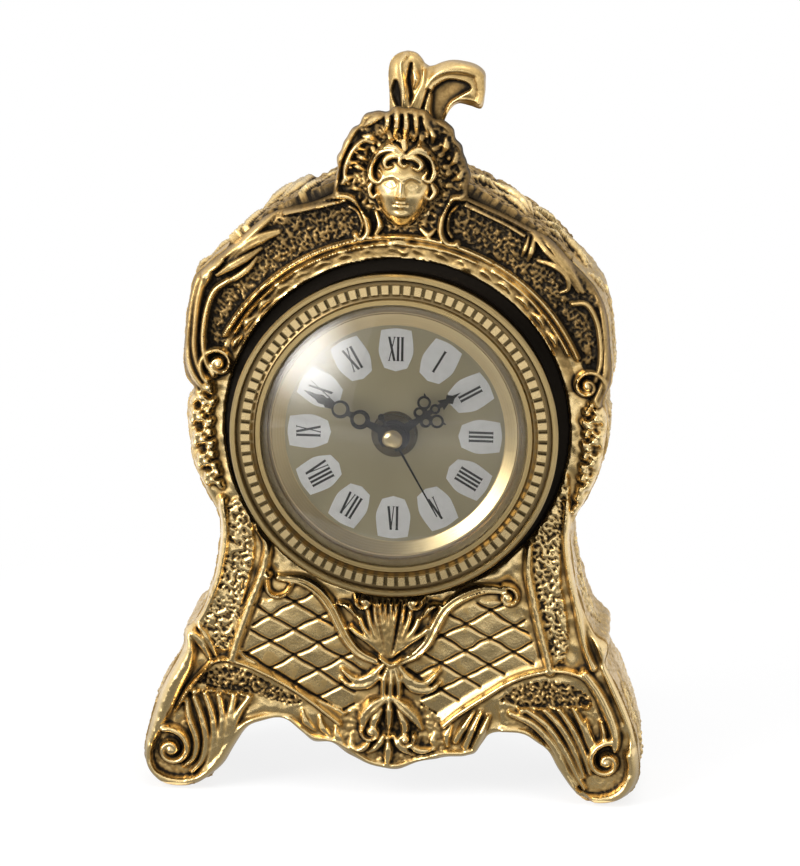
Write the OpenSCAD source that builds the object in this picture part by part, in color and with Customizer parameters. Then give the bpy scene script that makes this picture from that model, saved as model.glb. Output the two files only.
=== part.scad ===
// Cast brass table clock with a round quartz insert, millimetres, +Z up, front towards -Y.
// The origin is under the middle of the clock, on the surface that it stands on.

/* [Case] */
// Half width of the case across the feet
foot_half = 70; // [66:0.5:80]
// Height of the front casting without the crest
case_h = 194.6; // [186:0.2:206]
// Depth of the walls with the front plate
case_d = 35; // [28:0.5:50]
// Thickness of the front plate
plate_t = 3; // [2.5:0.1:4.5]
// Thickness of the side and roof walls
wall_t = 3; // [2.4:0.1:3.6]
// Height of the crest over the roof
crest_h = 31.2; // [26:0.2:36]

/* [Relief] */
// Height of the low mouldings
relief_low = 2.2; // [1.4:0.1:3]
// Height of the straps and scrolls
relief_mid = 3.8; // [3.2:0.1:4.2]
// Height of the crowns of the mouldings
relief_high = 5; // [4.4:0.1:7]
// Depth of the lattice grooves
groove_deep = 0.7; // [0.4:0.1:1.2]
// Width of the lattice grooves
groove_w = 0.8; // [0.5:0.1:1.2]

/* [Insert] */
// Height of the dial centre
dial_z = 106; // [104.5:0.5:107.5]
// Radius of the hole in the front plate
hole_r = 41; // [40.8:0.1:41.4]
// Outer radius of the bezel
bezel_r = 45; // [44:0.1:46]
// Distance from the front plate to the bezel's rim
bezel_h = 13; // [12.8:0.1:14]
// Number of beads round the bezel
beads = 86; // [60:1:100]
// Radius of the glass
lens_r = 36.4; // [35.8:0.1:36.8]
// Thickness of the glass
lens_t = 1.5; // [1:0.1:1.8]
// Distance from the front plate to the top of the glass
lens_top = 20; // [19.4:0.1:23]
// Radius of the dial plate
dial_r = 31; // [30.6:0.1:31.4]
// Distance from the front plate to the dial's face
dial_d = 7.2; // [7:0.1:7.4]

/* [Hands] */
// Length of the hour hand
hour_len = 21.9; // [17:0.1:23]
// Length of the minute hand
minute_len = 27.5; // [20:0.1:28.5]
// Length of the second hand
second_len = 24.7; // [18:0.1:27]
// Hour that the hands show
show_hour = 1; // [0:1:11]
// Minute that the hands show
show_minute = 49.4; // [0:0.1:59.9]
// Second that the hands show
show_second = 25; // [0:1:59]

/* [Movement] */
// Side of the square movement housing
move_w = 56; // [55:0.5:56]
// Thickness of the movement housing
move_t = 16; // [15.6:0.1:18]
// Wall of the movement housing
shell_t = 1.2; // [0.9:0.1:1.3]
// Diameter of the battery
cell_d = 14.5; // [14:0.1:14.6]
// Length of the battery with its button
cell_l = 50.5; // [49.2:0.1:50.6]
// Running clearance of an arbor in its bearing
run_gap = 0.05; // [0.03:0.01:0.08]

/* [Hidden] */
$fn = 64;
BRASS = "darkgoldenrod";
SATIN = "burlywood";
BLACK = "dimgray";
STEEL = "silver";

// The middle of the whole depth lies at y = 0; face_y is the front plate's front
face_y = (lens_top - case_d) / 2;
back_y = face_y + case_d;
touch = 0.4;        // how far a relief is rooted in the plate under it
fit = 0.1;          // loose fit between pieces that are put together by hand

// Curves: a smooth line through hand-set stations, its normals, and a band along it
function blend4(a, b, c, d, t) =
    0.5 * (2 * b + (c - a) * t + (2 * a - 5 * b + 4 * c - d) * t * t + (3 * b - a - 3 * c + d) * t * t * t);
function smooth(p, n = 2) = let(last = len(p) - 1) concat(
    [for (i = [0 : last - 1], k = [0 : n - 1])
        blend4(p[max(i - 1, 0)], p[i], p[i + 1], p[min(i + 2, last)], k / n)], [p[last]]);
function heading(q, i) = let(v = q[min(i + 1, len(q) - 1)] - q[max(i - 1, 0)]) v / norm(v);
function beside(q, w0, w1) = [for (i = [0 : len(q) - 1])
    let(t = heading(q, i), w = w0 + (w1 - w0) * i / (len(q) - 1)) q[i] + w * [-t.y, t.x]];
function joined(runs) = [for (k = [0 : len(runs) - 1], i = [(k == 0 ? 0 : 1) : len(runs[k]) - 1]) runs[k][i]];
function backwards(q) = [for (i = [len(q) - 1 : -1 : 0]) q[i]];
function flipped(q) = [for (p = backwards(q)) [-p.x, p.y]];
function band_points(q, a0, a1, b0, b1) = concat(beside(q, a0, a1), backwards(beside(q, b0, b1)));
function spiral(c, r0, r1, from, turns, n = 12) = [for (i = [0 : ceil(n * abs(turns))])
    let(t = i / ceil(n * abs(turns)), r = r0 * pow(r1 / r0, t), a = from + 360 * turns * t)
    c + r * [cos(a), sin(a)]];
module stroke(q, w0, w1) { polygon(band_points(q, w0 / 2, w1 / 2, -w0 / 2, -w1 / 2)); }
module both() {
    children();
    mirror([1, 0]) children();
}
// Rounds the inner corners where flat shapes meet, as a casting or a punched sheet has them
module cast(r) { offset(delta = -r) offset(delta = r) children(); }

// Space: slab() raises a flat shape from d0 to d1 in front of the plate's face,
// and dial_frame() has x to the right, y up and z towards the viewer from the dial's axis
module slab(d0, d1) { translate([0, face_y - d0, 0]) rotate([90, 0, 0]) linear_extrude(d1 - d0) children(); }
module dial_frame() { translate([0, face_y, dial_z]) rotate([90, 0, 0]) children(); }
module disc(r, d0, d1) { translate([0, 0, d0]) cylinder(r = r, h = d1 - d0); }

// Outline of the case: stations of the right half, in runs between its corners.
// sx and sz stretch them to the driving half width and height
sx = foot_half / 70;
sz = case_h / 194.6;
function sized(p) = [for (q = p) [q.x * sx, q.y * sz]];
apron_run = sized([[0, 7.2], [6, 8.7], [11, 10.8], [16.6, 12.9], [21.6, 13.4], [24.5, 15], [27.3, 18.8],
    [32, 20.3], [37.5, 19.5], [41.5, 17], [44.6, 12.6], [47.5, 8.2], [50.6, 4.6], [54, 1.4], [57.5, 0]]);
foot_run = sized([[62.5, 0], [66.4, 1.8], [69.2, 5.6], [70, 10.4], [68.8, 15.5], [66.4, 22.5], [63.2, 30.5],
    [60.4, 36.5], [58.9, 41.2], [58.9, 45.7]]);
waist_run = sized([[58.9, 45.7], [56, 48.6], [53.2, 53], [51.1, 58.6], [49.3, 65.5], [48.4, 76.5],
    [49.6, 81.3], [53, 87], [56, 94], [57.3, 101.5], [57.9, 110.6], [56.4, 115]]);
shoulder_run = sized([[56.4, 115], [58.5, 119.6], [59.3, 127], [58.4, 137.8], [55.8, 145.5], [52.2, 150.6]]);
brow_run = sized([[52.2, 150.6], [46.6, 155.6], [40.5, 161.3], [35.5, 165.2], [31, 167], [24, 168], [18.2, 171]]);
shell_run = sized([[18.2, 171], [17.7, 178.5], [14.6, 186.5], [10.4, 191.3], [5, 193.8], [0, 194.6]]);
roof_run = sized([[52.2, 150.6], [46.6, 155.6], [40.5, 161.3], [34.5, 165.6], [27, 169.6], [18, 174], [9, 177], [0, 178]]);
side_line = joined([smooth(foot_run), smooth(waist_run), smooth(shoulder_run)]);
flank_line = concat(smooth(sized([[51.6, 3.6], [54, 1.4], [57.5, 0]])), side_line);
roof_line = joined([smooth(roof_run), flipped(smooth(roof_run))]);
half_line = joined([concat(smooth(apron_run), side_line), smooth(brow_run), smooth(shell_run)]);
roof_z = 178 * sz;

// Walls behind the plate: the flanks and the roof band meet in a mitre at the shoulders
seam = [52.2 * sx, 150.6 * sz];
seam_in = seam + wall_t * [cos(222), sin(222)];
flank_in = let(q = beside(flank_line, wall_t, wall_t)) [for (i = [0 : len(q) - 1]) i < len(q) - 1 ? q[i] : seam_in];
roof_in = let(q = beside(roof_line, wall_t, wall_t), last = len(q) - 1)
    [for (i = [0 : last]) i == 0 ? seam_in : i == last ? [-seam_in.x, seam_in.y] : q[i]];

module outline() {
    left = flipped(half_line);
    polygon(concat(half_line, [for (i = [1 : len(left) - 2]) left[i]]));
}

// Screw lugs inside the walls: place, and the direction towards the wall
lug_r = 4;
lug_t = 3;
screw_r = 1.5;
flank_lugs = [for (q = sized([[60, 30], [45, 74], [54, 128]])) q - [wall_t, 0]];
lug_walls = sized([[60.8, 30.5], [46, 74], [57.4, 128]]);
roof_lugs = sized([[30, 158], [0, 165.5]]);
roof_walls = sized([[33.7, 164.4], [0, 176.4]]);
head_r = 2.8;
skin_t = 0.2;      // metal left in front of a blind hole
head_t = 2;

module lug(at, wall_at) {
    translate([0, face_y + plate_t + lug_t, 0]) rotate([90, 0, 0]) linear_extrude(lug_t) difference() {
        union() {
            translate(at) circle(lug_r);
            stroke([at, wall_at], 2 * lug_r, 2 * lug_r);
        }
        translate(at) circle(screw_r + fit);
    }
}

module screw_hole(at) {
    translate([at.x, face_y + plate_t + 1, at.y]) rotate([90, 0, 0])
        cylinder(r = screw_r + fit / 2, h = plate_t + 1 - skin_t);
}

module screw(at) {
    translate([at.x, face_y + plate_t + lug_t, at.y]) rotate([90, 0, 0]) difference() {
        union() {
            cylinder(r = screw_r, h = lug_t + plate_t - 2 * skin_t);
            translate([0, 0, -head_t]) cylinder(r = head_r, h = head_t);
        }
        translate([-head_r, -0.4, -head_t - 1]) cube([2 * head_r, 0.8, 2]);
    }
}

// Relief of the front, each part as a flat shape that slab() raises
arch_in = 48;
arch_out = 55.6;
arch_draft = 0.1;   // how far the arch's edge leans out for each millimetre of height
module arch_sector(r0, r1, from, to) {
    n = 24;
    q = [for (i = [0 : n]) let(a = from + (to - from) * i / n) [cos(a), sin(a)]];
    translate([0, dial_z]) polygon(concat(r0 * q, backwards(r1 * q)));
}

module volute(c, r0, r1, from, turns, w0, w1) {
    stroke(spiral(c, r0, r1, from, turns), w0, w1);
    translate(c) circle(r1 + w1 / 2, $fn = 12);
}

leg_bar = smooth(sized([[36.5, 75], [36, 65], [37.6, 56.5], [40.5, 48], [43, 41], [46, 36.5]]));
panel_foot = smooth(sized([[46, 38.5], [37.5, 36], [28.5, 33], [20, 28.5], [9, 22.5]]));
panel_foot_low = smooth(sized([[51, 36], [42, 34], [33.8, 30.8], [22, 24.6], [9, 17.5]]));
panel_strap = smooth(sized([[2, 39.8], [8, 43.5], [13.5, 50], [15.5, 55.5], [20.5, 60.5], [26, 62.2], [31.5, 61.5]]));
knee_strap = smooth(sized([[46, 38], [52, 35.5], [56.5, 30], [61, 22], [65.5, 14]]));
shoulder_strap = smooth(sized([[43, 153.5], [50, 147.5], [54.6, 139.5], [56, 130], [55.2, 122.5]]));
brow_strap = smooth(sized([[18.5, 168], [26, 165.2], [34, 162], [42, 155.5]]));
cheek_scroll = smooth(sized([[16, 169.5], [11.2, 167.5], [9, 162], [10, 158.4], [13, 157.8]]));

module panel_field() {
    polygon(concat([[0, 24], [0, 42] ], sized([[8, 43.5], [13.5, 50], [15.5, 55.5], [20.5, 60.5], [26, 62.2], [33, 60.5],
        [36.3, 60], [38, 55.5], [40.5, 48], [43, 41], [45.5, 38.4], [37.5, 36], [28.5, 33], [20, 28.5], [9, 22.5]])));
}

// Grooves of the lattice: two sets of parallel lines with one pitch, crossing in the panel's middle
lattice_tilt = 29.7;
lattice_half = [6.7, 3.8];
module lattice_lines() {
    pitch = 2 * lattice_half.x * sin(lattice_tilt);
    intersection() {
        panel_field();
        union() for (s = [-1, 1], i = [-5 : 5])
            translate([28, 46]) rotate(s * lattice_tilt) translate([-40, i * pitch - groove_w / 2]) square([80, groove_w]);
    }
}

module petal(len_, w, tilt) {
    half = [[w * 0.12, 0], [w * 0.28, len_ * 0.35], [w * 0.5, len_ * 0.72], [w * 0.36, len_ * 0.92]];
    rotate(tilt) polygon(concat(half, [[0, len_]], flipped(half)));
}

module palmette() {
    translate([0, 39.5 * sz]) for (i = [-3 : 3]) petal(17.5 - 1.1 * abs(i), 4.6, -i * 15);
    translate([0, 39.5 * sz]) for (i = [-1 : 1]) petal(14, 3, 180 + i * 10);
    both() stroke(smooth(sized([[1, 38.5], [6, 34.8], [11, 34], [15, 36.8]])), 3.4, 1);
    both() stroke(smooth(sized([[1, 27], [5.5, 27.5], [8.5, 23.5], [7.4, 20.5]])), 3.6, 1.4);
}

module rosette() {
    translate([0, 17 * sz]) {
        for (i = [0 : 7]) petal(5, 2.8, i * 45);
        circle(1.4, $fn = 12);
    }
}

module low_relief() {
    both() {
        stroke(beside(side_line, 2.3, 2.3), 4.6, 4.6);
        stroke(beside(smooth(apron_run), 1.5, 1.5), 3, 3);
        stroke(leg_bar, 5, 4.4);
        stroke(panel_foot_low, 4.4, 3);
        stroke(knee_strap, 6, 9);
        stroke(shoulder_strap, 6.4, 6);
        stroke(beside(smooth(shell_run), 2, 2), 4, 4);
        stroke(beside(smooth(brow_run), 1.6, 1.6), 3.2, 3.2);
        for (i = [0 : 3]) stroke(sized([[58, 14], [50 + 2.4 * i, 26.5 + 2 * i]]), 1, 2.4);
    }
    arch_sector(arch_in, arch_out, -36, 216);
    translate([0, 176 * sz]) circle(15.6, $fn = 40);
}

module mid_relief() {
    both() {
        stroke(beside(side_line, 1.7, 1.7), 2.4, 2.4);
        stroke(leg_bar, 2.4, 2);
        stroke(panel_foot, 2.6, 2.2);
        stroke(panel_foot_low, 1.8, 1.4);
        stroke(panel_strap, 2.6, 3);
        volute([31, 58.2] * sz, 3.6, 1, 80, -1.1, 2.6, 1.2);
        stroke(knee_strap, 2.6, 3.4);
        volute([61.2 * sx, 11.6 * sz], 6.2, 1.6, 60, -1.6, 2.4, 1.6);
        stroke(shoulder_strap, 3.6, 3.2);
        volute([50.2 * sx, 121.2 * sz], 5, 1.3, 20, -1.3, 2.8, 1.6);
        stroke(brow_strap, 3.4, 2.6);
        stroke(cheek_scroll, 2.4, 2);
        translate([13.4 * sx, 160.6 * sz]) circle(2, $fn = 12);
        for (i = [0 : 4]) let(a = 80 - i * 20)
            stroke([[0, 177 * sz] + 8 * [cos(a), sin(a)], [0, 177 * sz] + 15 * [cos(a), sin(a)]], 1.2, 3);
    }
    arch_sector(arch_out - 3.1, arch_out - 0.6, -30, 210);
    arch_sector(arch_in, arch_in + 1.6, -34, 214);
    palmette();
    rosette();
}

module high_relief() {
    both() {
        stroke(beside(side_line, 1.7, 1.7), 1, 1);
        stroke(shoulder_strap, 1.4, 1.2);
        translate([61.2 * sx, 11.6 * sz]) circle(1.5, $fn = 12);
        translate([50.2 * sx, 121.2 * sz]) circle(1.3, $fn = 12);
    }
    arch_sector(arch_out - 2.3, arch_out - 1.4, -28, 208);
}

// Child's head in the shell: a plain egg for the head, curls as balls round its brow
head_c = [0, 174.5 * sz];
head_r0 = 7.6;
head_half = 10.6;
module mask() {
    n = 14;
    egg = [for (i = [0 : n]) let(a = -90 + 180 * i / n)
        [head_r0 * cos(a) * (1 + 0.1 * sin(a)), head_half * sin(a)]];
    intersection() {
        translate([0, face_y - 1, head_c.y]) rotate_extrude() polygon(egg);
        translate([-20, face_y - 12, head_c.y - 20]) cube([40, 12 + touch, 40]);
    }
    for (i = [-3 : 3]) let(a = 90 - i * 26)
        translate([6.6 * cos(a), face_y - 5 + abs(i) * 0.8, head_c.y + 2 + 7.6 * sin(a)]) sphere(r = 2.7, $fn = 24);
}

pendant = sized([[53.6, 110], [54.4, 104.6], [54.2, 99.2], [52.8, 93.8], [50.6, 88.8]]);

module raised(h) {
    slab(-touch, h) cast(0.3) difference() {
        intersection() {
            children();
            offset(delta = -0.3) outline();
        }
        translate([0, dial_z]) circle(arch_in + h * arch_draft, $fn = 48);
    }
}

module front_casting() {
    color(BRASS) difference() {
        union() {
            slab(-plate_t, 0) outline();
            raised(relief_low) low_relief();
            raised(relief_mid) mid_relief();
            raised(relief_high) high_relief();
            mask();
            for (s = [-1, 1], i = [0 : 4])
                translate([s * pendant[i].x, face_y - 1, pendant[i].y]) sphere(r = 3 - 0.2 * i, $fn = 24);
        }
        dial_frame() disc(hole_r, -plate_t - 1, 1);
        slab(-groove_deep, 1) offset(delta = -0.01) difference() {
            both() lattice_lines();
            offset(delta = 0.2) mid_relief();
        }
        for (s = [-1, 1], p = flank_lugs) screw_hole([s * p.x, p.y]);
        for (p = roof_lugs, s = p.x > 0 ? [-1, 1] : [1]) screw_hole([s * p.x, p.y]);
    }
}

module wall(outer, inner) {
    translate([0, back_y, 0]) rotate([90, 0, 0]) linear_extrude(case_d - plate_t) polygon(concat(outer, backwards(inner)));
}

module flank() {
    wall(flank_line, flank_in);
    for (i = [0 : 2]) lug(flank_lugs[i], lug_walls[i]);
}

module right_flank() { color(BRASS) flank(); }
module left_flank() { color(BRASS) mirror([1, 0, 0]) flank(); }

crest_y = face_y + 10.8;
stud_r = 2;
module roof_band() {
    color(BRASS) difference() {
        union() {
            wall(roof_line, roof_in);
            for (i = [0 : 1], s = i == 0 ? [-1, 1] : [1])
                lug([s * roof_lugs[i].x, roof_lugs[i].y], [s * roof_walls[i].x, roof_walls[i].y]);
        }
        translate([0, crest_y, roof_z - 10]) cylinder(r = stud_r + fit, h = 20);
    }
}

// Crest: a turned bud on a stud, with a leaf that sweeps to the right and curls down
leaf_line = smooth([[0, 15], [5, 18.8], [11, 22.6], [17, 25.2], [21.2, 24], [22.6, 20.6], [21.4, 17.2], [18.6, 17.4]], 4);
module crest_finial() {
    bud = smooth([[4.6, 9.5], [3.9, 17], [3.5, 22], [4.5, 26.6], [3.6, crest_h - 1.2], [1.2, crest_h]], 4);
    color(BRASS) translate([0, crest_y, roof_z]) {
        rotate_extrude() polygon(concat([[0, 0.35], [6.4, 0.35], [6.4, 2.4], [4.8, 3.4]], bud, [[0, crest_h]]));
        translate([0, 4.5, 0]) rotate([90, 0, 0]) linear_extrude(9) stroke(leaf_line, 7, 1.6);
        translate([0, 0, -8]) cylinder(r = stud_r, h = 9);
    }
}

module crest_nut() {
    color(STEEL) translate([0, crest_y, roof_z - wall_t - 4.1]) difference() {
        cylinder(r = 4, h = 3, $fn = 6);
        translate([0, 0, -1]) cylinder(r = stud_r + 0.02, h = 5);
    }
}

module case_screws() {
    color(STEEL) {
        for (s = [-1, 1], p = flank_lugs) screw([s * p.x, p.y]);
        for (p = roof_lugs, s = p.x > 0 ? [-1, 1] : [1]) screw([s * p.x, p.y]);
    }
}

// Insert: the bezel, glass, reflector and dial are turned about the dial's axis
bezel_in = 42;
bead_in = 39.4;
bead_out = 42;
bead_d = bezel_h - 1.8;
lip_r = lens_r + 0.2;
module bezel() {
    color(SATIN) dial_frame() rotate_extrude($fn = 128) polygon([[bezel_in, 0], [bezel_r - 1.6, 0], [bezel_r - 0.7, 1.2],
        [bezel_r - 0.7, 4], [bezel_r - 1.3, 5.2], [bezel_r - 0.6, 8.5], [bezel_r, bezel_h - 2.4],
        [bezel_r, bezel_h - 0.8], [bezel_r - 0.5, bezel_h], [bezel_r - 1.4, bezel_h], [bead_out + 1.1, bezel_h - 0.8],
        [bead_out + 1, bead_d], [bead_in, bead_d], [lip_r + 1.8, bead_d + 0.5], [lip_r + 1.3, bezel_h - 0.7],
        [lip_r + 0.1, bezel_h - 0.7], [lip_r, bezel_h - 1.2], [lip_r, bezel_h - 3.4], [lip_r + 1.2, bezel_h - 4],
        [bezel_in - 1.1, bezel_h - 4], [bezel_in, bezel_h - 5.2]]);
}

module beaded_ring() {
    slot = 0.7;
    color(SATIN) dial_frame() difference() {
        translate([0, 0, bead_d]) difference() {
            cylinder(r = bead_out, h = 1.1, $fn = 128);
            translate([0, 0, -1]) cylinder(r = bead_in + 0.2, h = 3, $fn = 128);
        }
        for (i = [0 : beads - 1]) rotate(i * 360 / beads)
            translate([bead_in - 1, -slot / 2, bead_d + 0.3]) cube([4, slot, 2]);
    }
}

sag = lens_top - (bezel_h - 1.7);
dome_r = (lens_r * lens_r + sag * sag) / (2 * sag);
module lens() {
    color("lightcyan", 0.4) dial_frame() difference() {
        intersection() {
            translate([0, 0, lens_top - dome_r]) sphere(r = dome_r, $fn = 128);
            translate([0, 0, dial_d + 1]) cylinder(r = lens_r, h = 20);
        }
        translate([0, 0, lens_top - dome_r]) sphere(r = dome_r - lens_t, $fn = 128);
    }
}

lens_foot = lens_top - dome_r + sqrt(pow(dome_r - lens_t, 2) - lens_r * lens_r);
seat_in = lens_r - 1.7;
module lens_gasket() {
    color(BLACK) dial_frame() difference() {
        disc(lens_r - 0.05, lens_foot - 0.7, lens_foot - 0.05);
        disc(seat_in, 0, 20);
    }
}

cup_r = hole_r - 1.5;
module reflector_ring() {
    color("wheat") dial_frame() rotate_extrude($fn = 128) polygon([[dial_r - 0.9, dial_d + 0.05], [dial_r - 0.6, dial_d + 0.1],
        [seat_in - 1.2, lens_foot - 0.9], [seat_in - 1, lens_foot - 1.2], [seat_in - 0.2, lens_foot - 1.2],
        [seat_in, lens_foot - 0.75], [lens_r, lens_foot - 0.75], [lens_r, dial_d + 1.4], [cup_r - 0.6, dial_d + 1.4],
        [cup_r - 0.6, dial_d - 0.45], [dial_r + 0.2, dial_d - 0.45], [dial_r + 0.2, dial_d + 0.05]]);
}

dial_t = 0.5;
floor_t = 1;
rubber_t = 0.8;
cup_back = 8;
cup_wall = 1.1;
bush_r = 4;
module dial_cup() {
    color(BLACK) dial_frame() difference() {
        union() {
            disc(cup_r, -cup_back, dial_d - dial_t);
            disc(bezel_in - fit, 2.5, dial_d - dial_t);
        }
        disc(cup_r - cup_wall, -cup_back - 1, dial_d - dial_t - floor_t);
        disc(bush_r + fit, -1, 20);
    }
}

module grip_band() {
    color(BLACK) dial_frame() difference() {
        disc(hole_r - fit, -6, -0.2);
        disc(cup_r + 0.05, -10, 10);
    }
}

module dial_plate() {
    color("darkkhaki") dial_frame() difference() {
        disc(dial_r, dial_d - dial_t, dial_d);
        disc(bush_r + fit, 0, 20);
    }
}

// Twelve barrel-shaped plaques on one circle, each with bowed ends
plaque_r = 23.5;
plaque_t = 0.2;
module plaque() {
    half_in = 3.1;
    half_mid = 4.6;
    half_len = 5.2;
    side_q = smooth([[half_in, -half_len], [half_mid, -1.4], [half_mid, 1.6], [half_in + 1, half_len]], 4);
    top_q = smooth([[half_in + 1, half_len], [0, half_len + 0.6], [-half_in - 1, half_len]], 4);
    linear_extrude(plaque_t) polygon(concat(side_q, top_q, flipped(side_q), [[0, -half_len - 0.9]]));
}
module chapter_plaques() {
    color("whitesmoke") dial_frame() for (i = [0 : 11]) rotate(-i * 30) translate([0, plaque_r, dial_d]) plaque();
}

// Movement: depths of the layers from the front plate's face, front to back
move_front = dial_d - dial_t - floor_t - rubber_t;
move_back = move_front - move_t;
inner_front = move_front - shell_t;
inner_back = move_back + 1;
split_d = -2;
corner_r = 3.5;
cell_z = -move_w / 2 + 1.5 + cell_d / 2;
cell_c = move_back + cell_d / 2 + 0.05;
bay_top = cell_z + cell_d / 2 + 0.25;
bay_wall = 0.9;
hour_layer = inner_front - 1.2;
minute_layer = hour_layer - 1.2;
centre_layer = minute_layer - 1.2;
plate_layer = centre_layer - 0.9;
third_layer = plate_layer - 1.2;
second_layer = third_layer - 1.2;
inter_layer = second_layer - 1.2;
wheel_t = 0.8;
plate_thick = 0.6;
stator_d = inter_layer - 2.2;
stator_t = 1;

// Gearing: teeth and modules; each distance follows from the pair that meshes there
m_motion = 0.25;
m_hour = 0.24;
m_centre = 0.2;
cannon_teeth = 12;
minute_teeth = 36;
minute_pinion_teeth = 10;
hour_teeth = 40;
third_pinion_teeth = 8;
centre_teeth = 64;
second_pinion_teeth = 8;
third_teeth = 60;
inter_pinion_teeth = 8;
second_teeth = 40;
rotor_teeth = 8;
inter_teeth = 48;
m_second = 0.22;
m_rotor = 0.19;
motion_a = m_motion * (cannon_teeth + minute_teeth) / 2;
centre_a = m_centre * (centre_teeth + third_pinion_teeth) / 2;
m_third = 2 * centre_a / (third_teeth + second_pinion_teeth);
second_a = m_second * (second_teeth + inter_pinion_teeth) / 2;
rotor_a = m_rotor * (inter_teeth + rotor_teeth) / 2;
minute_dir = 60;
third_dir = -30;
inter_dir = 210;
rotor_dir = 215;
function polar(r, a) = r * [cos(a), sin(a)];
minute_at = polar(motion_a, minute_dir);
knob_at = minute_at + polar(motion_a, minute_dir);
third_at = polar(centre_a, third_dir);
inter_at = polar(second_a, inter_dir);
rotor_at = inter_at + polar(rotor_a, rotor_dir);

// One gear: each tooth has six points, on the root, pitch and tip circles
function tooth(a, rr, rp, rt, hr, hp, ht) =
    [polar(rr, a - hr), polar(rp, a - hp), polar(rt, a - ht), polar(rt, a + ht), polar(rp, a + hp), polar(rr, a + hr)];
function gear_points(n, m, phase, leaf) = let(rp = n * m / 2, half = (leaf ? 0.34 : 0.38) * 180 / n)
    [for (i = [0 : n - 1]) each tooth(phase + i * 360 / n, rp - 1.25 * m, rp, rp + (leaf ? 0.8 : 0.95) * m,
        half * (leaf ? 0.85 : 1.15), half, half * 0.4)];
module gear(n, m, phase, from, leaf = false) {
    translate([0, 0, from]) linear_extrude(wheel_t) polygon(gear_points(n, m, phase, leaf));
}
module pinion(n, m, facing, from) { gear(n, m, facing + 180 / n, from, true); }
module at(p) { translate([p.x, p.y, 0]) children(); }
pin_r = 0.3;
axle_r = 0.45;
cannon_in = axle_r + run_gap;
cannon_out = 1.55;
hour_in = cannon_out + run_gap;
hour_out = 2.5;
bush_in = hour_out + run_gap;
hour_hand_d = 9.8;
minute_hand_d = 11.2;
second_hand_d = 12.6;
hand_t = 0.3;

module rounded(w, r) {
    translate([-w / 2, -w / 2 + r]) square([w, w - 2 * r]);
    translate([-w / 2 + r, -w / 2]) square([w - 2 * r, w]);
    for (x = [-1, 1], y = [-1, 1]) translate([x, y] * (w / 2 - r)) circle(r);
}
module shell(d0, d1) {
    translate([0, 0, d0]) linear_extrude(d1 - d0) difference() {
        rounded(move_w, corner_r);
        rounded(move_w - 2 * shell_t, corner_r - shell_t);
    }
}

post_at = [[-11.5, -9], [11, -9.2], [-11.5, 9], [13, 5]];
module front_housing() {
    color(BLACK) dial_frame() difference() {
        union() {
            shell(split_d, inner_front);
            translate([0, 0, inner_front]) linear_extrude(shell_t) rounded(move_w, corner_r);
            disc(bush_r, inner_front, hour_hand_d - 0.9);
            for (p = post_at) at(p) disc(1.5, plate_layer + plate_thick, inner_front + touch);
            at(minute_at) disc(0.7, minute_layer - 0.1, inner_front + touch);
            for (p = [third_at, knob_at]) at(p) disc(1.2, inner_front - 0.6, inner_front + touch);
        }
        disc(bush_in, 0, 20);
        at(third_at) disc(pin_r + run_gap, 0, inner_front + 0.6);
        at(knob_at) disc(0.5 + run_gap, 0, inner_front + 0.6);
    }
}

bay_end = move_w / 2 - shell_t;
module rear_housing() {
    color(BLACK) dial_frame() difference() {
        union() {
            shell(move_back, split_d);
            translate([0, 0, move_back]) linear_extrude(inner_back - move_back) rounded(move_w, corner_r);
            translate([-bay_end + fit, bay_top, move_back]) cube([2 * (bay_end - fit), bay_wall, 3 + split_d - move_back]);
            for (p = [[0, 0], third_at, inter_at, rotor_at]) at(p) disc(1.3, inner_back - touch, inner_back + 0.9);
        }
        intersection() {
            translate([0, 0, move_back - 1]) linear_extrude(move_t + 2) rounded(move_w - 2 * shell_t, corner_r - shell_t);
            translate([-move_w, -move_w, move_back - 1]) cube([2 * move_w, bay_top + move_w, move_t + 2]);
        }
        disc(axle_r + run_gap, inner_back - 0.6, 0);
        for (p = [third_at, inter_at, rotor_at]) at(p) disc(pin_r + run_gap, inner_back - 0.6, 0);
        at(knob_at) disc(1 + run_gap, -30, 0);
        for (s = [-1, 1]) translate([s * (cell_l / 2 + 0.35) - 0.5, bay_top - 1, contact_low]) cube([1, 4, contact_high - contact_low + fit]);
    }
}

module train_plate() {
    color(SATIN) dial_frame() translate([0, 0, plate_layer]) linear_extrude(plate_thick) difference() {
        translate([-13.5, bay_top + bay_wall + fit]) square([29, 12 - bay_top - bay_wall]);
        circle(axle_r + run_gap);
        for (p = [third_at, inter_at, rotor_at]) translate(p) circle(pin_r + run_gap);
        translate(knob_at) circle(1 + run_gap);
    }
}

module rubber_washer() {
    color(BLACK) dial_frame() difference() {
        disc(7.5, move_front, move_front + rubber_t);
        disc(bush_r + fit, 0, 20);
    }
}

washer_r = 6.35;
washer_t = 0.5;
nut_t = 1.1;
module brass_washer() {
    color(BRASS) dial_frame() difference() {
        disc(washer_r, dial_d, dial_d + washer_t);
        disc(bush_r + fit, 0, 20);
    }
}
module bushing_nut() {
    color(BRASS) dial_frame() difference() {
        translate([0, 0, dial_d + washer_t]) cylinder(r = washer_r - 0.5, h = nut_t, $fn = 12);
        disc(bush_r + 0.02, 0, 20);
    }
}

// Hands: cut from sheet, drawn pointing up and turned to the time
minute_turn = show_minute * 6;
hour_turn = show_hour * 30 + show_minute / 2;
second_turn = show_second * 6;
module sheet(turn, d, bore) {
    dial_frame() rotate(-turn) difference() {
        translate([0, 0, d]) linear_extrude(hand_t) cast(0.08) children();
        disc(bore, 0, 20);
    }
}

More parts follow.
